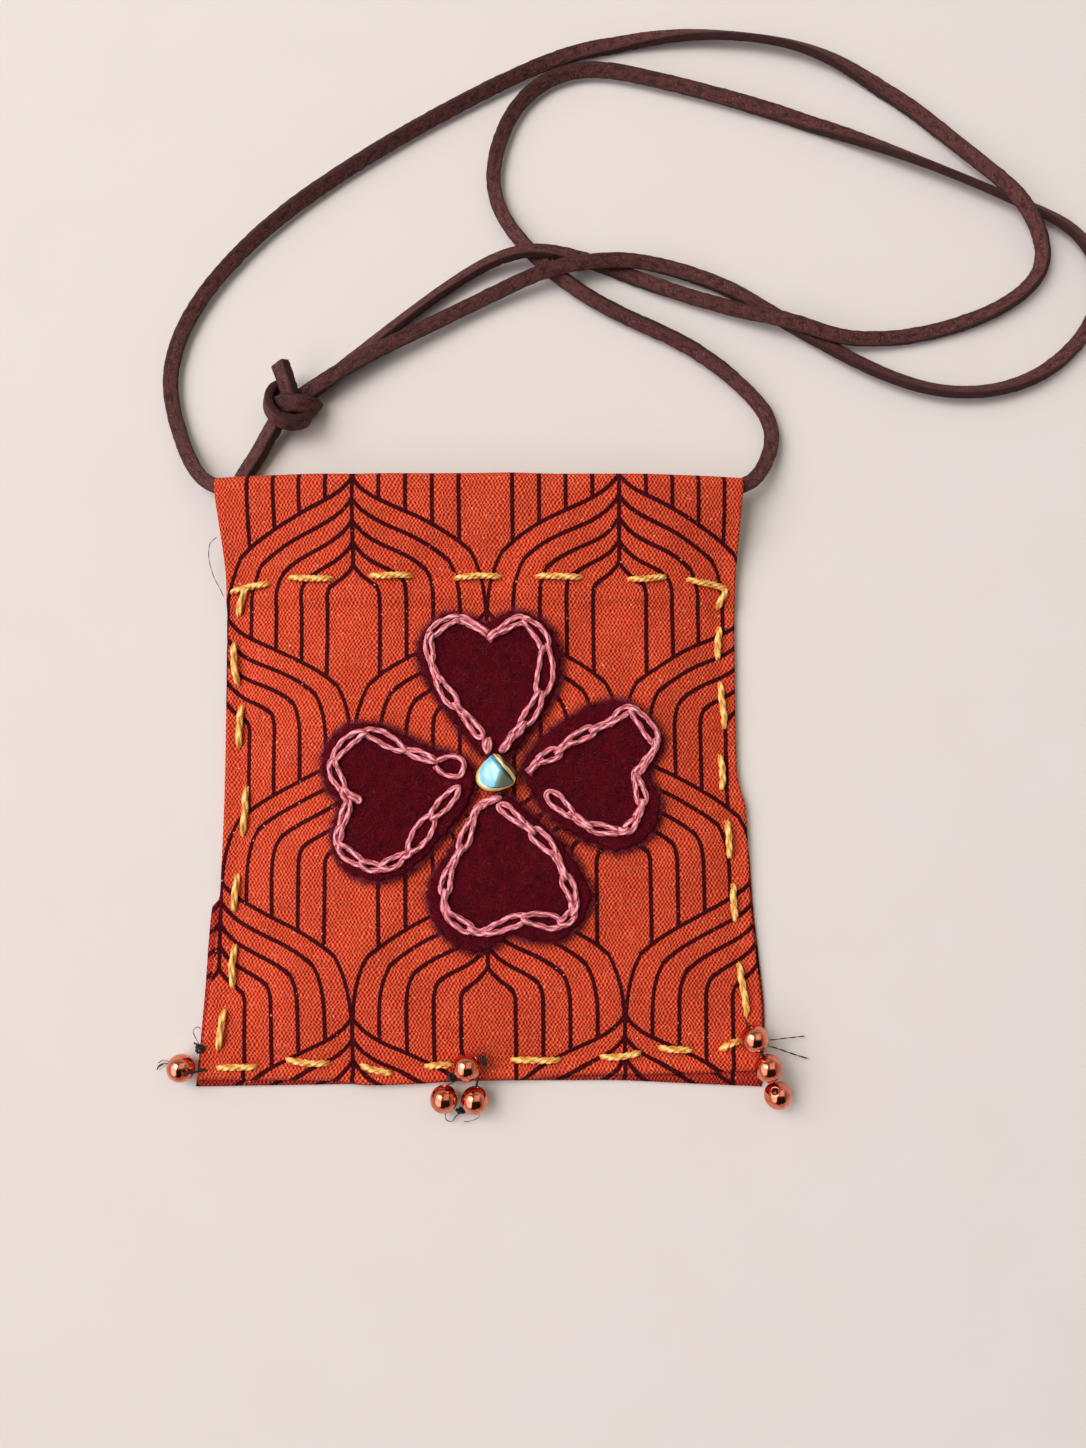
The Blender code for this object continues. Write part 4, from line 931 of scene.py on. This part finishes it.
for row in stitchRows:
    turnLength = runningStitch["turnLength"][row]
    sewn = [stitchSurface(stitch, 1.7 * i, turnLength) for i, stitch in enumerate(runningStitch[row])]
    addPiece("runningStitch" + row.capitalize(), joined(sewn), yellowFloss,
             [row + "_stitch_" + str(i + 1) for i in range(len(sewn))])
print("running stitches made")

# the turquoise nugget at the middle, angle in degrees and radius in mm round it
nugget = {
    "centre": (3.6, 0.4), "high": 3.7,
    "outline": ((-4.5, 3.75), (50, 3.0), (94.8, 3.5), (121, 3.05), (157, 3.15), (189, 3.75), (210, 4.0), (235, 3.85),
        (263, 3.5), (296, 3.45), (328, 3.9), (355.5, 3.75)),
    "crease": ((-0.2, 3.3), (3.3, -0.9)),
}
creaseStart, creaseEnd = np.array(nugget["crease"])
creaseWay = (creaseEnd - creaseStart) / np.linalg.norm(creaseEnd - creaseStart)


def nuggetSurface():
    # x, y = radius(angle) sin(lat) ^ 0.6, z = high / 2 (1 + cos(lat) ^ 0.8), a groove beside the crease and two facets
    angle = np.linspace(0, fullTurn, 120, endpoint=False)[None, :]
    lat = np.linspace(0.015, np.pi - 0.015, 64)[:, None]
    outline = np.array(nugget["outline"])
    ring = np.concatenate([outline[-3:-1] - (360, 0), outline, outline[1:3] + (360, 0)])
    flat = np.sin(lat) ** 0.6 * np.interp(np.degrees(angle), *smoothPath(ring, 10).T)
    x, y = flat * np.cos(angle), flat * np.sin(angle)
    up = np.sign(np.cos(lat)) * np.abs(np.cos(lat)) ** 0.8
    off = (y - creaseStart[1]) * creaseWay[0] - (x - creaseStart[0]) * creaseWay[1]
    facets = 0.28 * np.abs(x * 0.86 - y * 0.28 - 0.55)
    carved = 0.75 * bell(off + 0.62, 0.24) - 0.25 * bell(off + 0.1, 0.3) + facets
    z = nugget["high"] / 2 * (1 + up) - np.sqrt(np.clip(np.cos(lat), 0, 1)) * carved
    cx, cy = np.array(nugget["centre"])[:, None] * mm
    points = spread(x * mm + cx, y * mm + cy, z * mm + clothTop(cx, cy) + 0.25 * mm)
    return gridSurface(points, lat, np.linspace(0, 1, 121)[None, :], wrap=True, caps=True)


def nuggetMaterial():
    # off = mm past the crease: gold about -0.1, painted shadow in the groove at -0.62, dark beyond 0.28; the rims go by
    # latitude, with a painted shadow line inside the gold rim at the lower right
    material, tree, shader = newMaterial("turquoiseGold")
    spot, lat = pieceMap(tree, True), parts(pieceMap(tree))[0]
    x, y = (way * 1000.0 - middle for way, middle in zip(parts(spot), nugget["centre"]))
    swirl = speckle(stretched(spot, (900, 400, 700)), 0.7, 3.0)
    colour = mixed(ramped(swirl, 0.35, 0.65), tint(108, 196, 228), tint(168, 226, 232))
    green = mixed(ramped(swirl, 0.35, 0.7), tint(96, 112, 92), tint(132, 146, 128))
    colour = mixed(ramped(x * 0.86 + y * -0.34 + swirl, 0.7, 1.9), colour, green)
    startX, startY, wayX, wayY = [float(value) for value in (*creaseStart, *creaseWay)]
    off = (y - startY) * wayX - (x - startX) * wayY + (swirl - 0.5) * 1.1
    goldBar = 1.0 - ramped(calc("ABSOLUTE", off + 0.10), 0.32, 0.38)
    # painted shadow in the notch beside the gold bar
    groove = 1.0 - ramped(calc("ABSOLUTE", off + 0.62), 0.06, 0.22)
    lowLeft = x * -0.060 + y * -0.065
    rim = lat + lowLeft + swirl * 0.30
    # a painted shadow line just inside the gold rim, towards the lower right
    shade = ramped(rim, 0.98, 1.08) * ramped(x - y, 0.2, 2.6)
    colour = mixed(calc("MAXIMUM", groove, shade) * 0.85, colour, tint(34, 26, 20))
    gold = calc("MAXIMUM", goldBar, ramped(rim, 1.13, 1.18))
    dark = calc("MAXIMUM", ramped(off, 0.16, 0.28), ramped(lat + lowLeft * -0.25, 1.17, 1.23))
    colour = mixed(dark, mixed(gold, colour, tint(250, 226, 150)), tint(66, 28, 14))
    finished(shader, swirl, 0.00012, 0.4, colour=colour, rough=0.22, coat=0.3,
             metal=calc("MAXIMUM", gold - dark, 0.0) * 0.6)
    return material


addPiece("turquoiseNugget", nuggetSurface(), nuggetMaterial(), ["nugget_bead"])

# copper beads: centres from their solids, and the way each hole points
copperBead = {
    "radius": 2.5 * mm, "hole": 0.62 * mm,
    "holes": {"copper_bead_left": (0.62, -0.14, 0.77), "copper_bead_centre_1": (-0.6, -0.75, -0.2),
    "copper_bead_centre_2": (0.05, -1, 0), "copper_bead_centre_3": (0.1, 1, 0),
    "copper_bead_right_1": (0.42, -0.9, 0), "copper_bead_right_2": (0.4, -0.89, -0.12),
    "copper_bead_right_3": (-0.37, 0.47, 0.80)},
}
copper, copperTree, copperShader = newMaterial("polishedCopper")
copperAt = pieceMap(copperTree, True)
smudge = speckle(copperAt, 620.0, 3.0)
finished(copperShader, speckle(copperAt, 240.0, 1.0), 0.0003, 0.25, rough=0.05 + smudge * 0.08, metal=1.0,
         colour=mixed(ramped(smudge, 0.4, 0.7), tint(232, 140, 112), tint(204, 100, 70)))


def beadSurface(centre, axis):
    # a ball with a bore: the profile runs round the ball from the bore's rim to its other rim, then back inside it
    radius, hole = copperBead["radius"], copperBead["hole"]
    rim = math.asin(hole / radius) + 0.05
    lat = np.linspace(rim, np.pi - rim, 30)
    out = np.concatenate([radius * np.sin(lat), [hole * 1.02, hole, hole, hole * 1.02]])[:, None]
    along = np.concatenate([radius * np.cos(lat), radius * np.array([-0.93, -0.80, 0.80, 0.93])])[:, None, None]
    axis = unit(np.array(axis, float))
    side = unit(np.cross(axis, (0.1, 0.2, 1.0)))
    angle = np.linspace(0, fullTurn, 44, endpoint=False)[None, :]
    points = (centre + axis * along + side * (out * np.cos(angle))[..., None]
              + np.cross(axis, side) * (out * np.sin(angle))[..., None])
    index = np.pad(np.arange(points[..., 0].size).reshape(points.shape[:2]), ((0, 1), (0, 1)), mode="wrap")
    quads = np.stack([index[:-1, :-1], index[1:, :-1], index[1:, 1:], index[:-1, 1:]], axis=-1).reshape(-1, 4)
    flat = points.reshape(-1, 3)
    a, b, c = (flat[quads[:, i]] - centre for i in range(3))
    if (np.cross(b - a, c - a) * a).sum() < 0:
        quads = quads[:, ::-1]
    return flat, quads.tolist(), np.zeros((quads.size, 2))


beadCentre = {}
for node, axis in copperBead["holes"].items():
    centre = np.mean(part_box(node), axis=0)
    beadCentre[node] = centre / mm
    addPiece("copperBead" + "".join(word.capitalize() for word in node.split("_")[2:]), beadSurface(centre, axis),
             copper, [node])
print("nugget and beads made")

# black sewing thread of the beads and the nugget, points in mm
blackThread = {"width": 0.42, "fine": 0.16, "sides": 9}
blackMaterial = threadMaterial("blackThread", tint(70, 60, 58), tint(32, 26, 28), tint(14, 11, 13), 3.0, 0.9, 0.75, 0.00004)
left1 = beadCentre["copper_bead_left"]
c1, c2, c3 = (beadCentre["copper_bead_centre_" + str(i)] for i in (1, 2, 3))
r1, r2, r3 = (beadCentre["copper_bead_right_" + str(i)] for i in (1, 2, 3))


def threadRun(points, width):
    line = evenPath(np.array(points) * mm, 0.25 * mm)
    turn = np.arange(len(line)) * 0.405
    return carried(line, plyProfile(width * mm / 2, 2, turn, blackThread["sides"]), lift=(0.13, 0.21, 1.0))


def smallKnot(centre, size, seed):
    # a tangle: a closed loop that winds round the middle at a few uneven turns
    rng = np.random.default_rng(seed)
    t = np.linspace(0, fullTurn, 200)
    wind = [rng.uniform(0.5, 1.0) * np.sin(t * k + rng.uniform(0, 6)) for k in (3, 5, 7, 4, 5, 8, 3, 6, 7)]
    loop = np.stack([wind[0] + wind[1] + 0.5 * wind[2], wind[3] + wind[4] + 0.5 * wind[5],
                     0.6 * (wind[6] + wind[7] + 0.5 * wind[8])], axis=-1)
    loop = loop / np.abs(loop).max(axis=0) * np.array(size) / 2 + np.array(centre)
    return threadRun(loop[::3], 0.5)


width, fine = blackThread["width"], blackThread["fine"]
nuggetTop = np.array([3.7, 3.6, float(clothTop(np.array([0.0037]), np.array([0.0036]))[0]) / mm])
threadPieces = {
    "beadThreadLeft": (["bead_thread_left"], [
        threadRun([left1 + (-0.3, 0.1, -0.4), left1 + (0.9, -0.2, 1.2), left1 + (1.9, -0.4, 1.9), left1 + (2.9, -0.4, 1.2),
                   left1 + (3.9, -0.3, 0.1), left1 + (4.4, -0.3, -0.3)], width * 1.5),
        threadRun([(-55.3, -51.9, 0.9), (-56.4, -51.8, 0.7), (-57.5, -52.3, 0.4), (-57.9, -53.0, 0.3)], width * 0.8),
        threadRun([(-55.4, -51.5, 1.0), (-56.6, -51.2, 0.8), (-57.7, -51.8, 0.4)], fine),
        smallKnot((-49.9, -49.0, 1.6), (1.5, 1.7, 1.1), 5),
        threadRun([(-49.6, -49.4, 1.5), (-50.3, -48.3, 1.9), (-51.0, -48.0, 1.6)], width * 0.8),
        threadRun([(-49.9, -48.4, 1.8), (-50.6, -46.9, 2.2), (-51.1, -45.8, 1.9), (-50.4, -45.2, 1.6), (-50.0, -45.6, 1.2)], fine)]),
    "beadThreadCentre": (["bead_thread_centre"], [
        threadRun([(1.8, -50.2, 2.4), (1.3, -49.4, 3.2), (0.2, -50.3, 3.9), c1, (-3.4, -54.2, 3.4), (-5.0, -55.2, 2.9),
                   (-5.6, -56.2, 2.7), c2, (-5.5, -60.2, 1.9), (-5.4, -61.6, 0.9), (-4.4, -62.0, 0.5), (-3.6, -61.0, 0.6),
                   (-2.6, -60.2, 1.3)], fine * 1.3),
        threadRun([(-2.9, -60.3, 1.2), (-1.4, -60.1, 1.6), (-0.4, -60.2, 1.9), c3, (0.1, -55.3, 2.4), (0.5, -54.0, 2.2)], width),
        threadRun([(0.6, -60.2, 1.7), (0.4, -61.2, 1.0), (-0.9, -61.9, 0.5), (-2.3, -62.1, 0.4)], fine * 0.8),
        smallKnot((1.5, -50.6, 4.0), (1.0, 1.7, 1.4), 11), smallKnot((-4.3, -53.6, 3.6), (1.1, 1.7, 1.4), 12),
        smallKnot((-2.8, -59.9, 1.5), (1.6, 1.0, 1.0), 13)]),
    "beadThreadRight": (["bead_thread_right"], [
        threadRun([(48.2, -43.4, 2.2), (48.5, -44.3, 3.6), r1, (50.9, -49.5, 4.2), r2, (53.1, -54.5, 3.4), r3], width),
        threadRun([(51.6, -47.4, 2.6), (53.4, -47.4, 2.0), (56.4, -47.2, 1.2), (59.4, -47.0, 0.5)], fine * 1.4),
        threadRun([(51.8, -48.2, 2.6), (54.0, -48.9, 1.9), (57.0, -50.0, 1.1), (60.0, -51.0, 0.5)], fine * 1.7)]),
    "nuggetThread": (["nugget_thread"], [
        smallKnot(nuggetTop + (0.0, 0.2, 0.5), (1.5, 0.9, 0.9), 21),
        threadRun([nuggetTop + (0.0, 0.6, -0.3), nuggetTop + (0.0, 0.2, 0.8), nuggetTop + (0.1, -0.5, 1.6)], width)]),
    "edgeThread": ([], [
        threadRun([(-49.0, 44.6, 4.2), (-50.4, 43.5, 3.4), (-50.9, 41.0, 2.0), (-50.2, 38.0, 1.2), (-48.9, 35.6, 1.4),
                   (-48.0, 33.9, 1.8)], fine)]),
}
for name, (nodes, runs) in threadPieces.items():
    addPiece(name, joined(runs), blackMaterial, nodes)
print("black threads made")
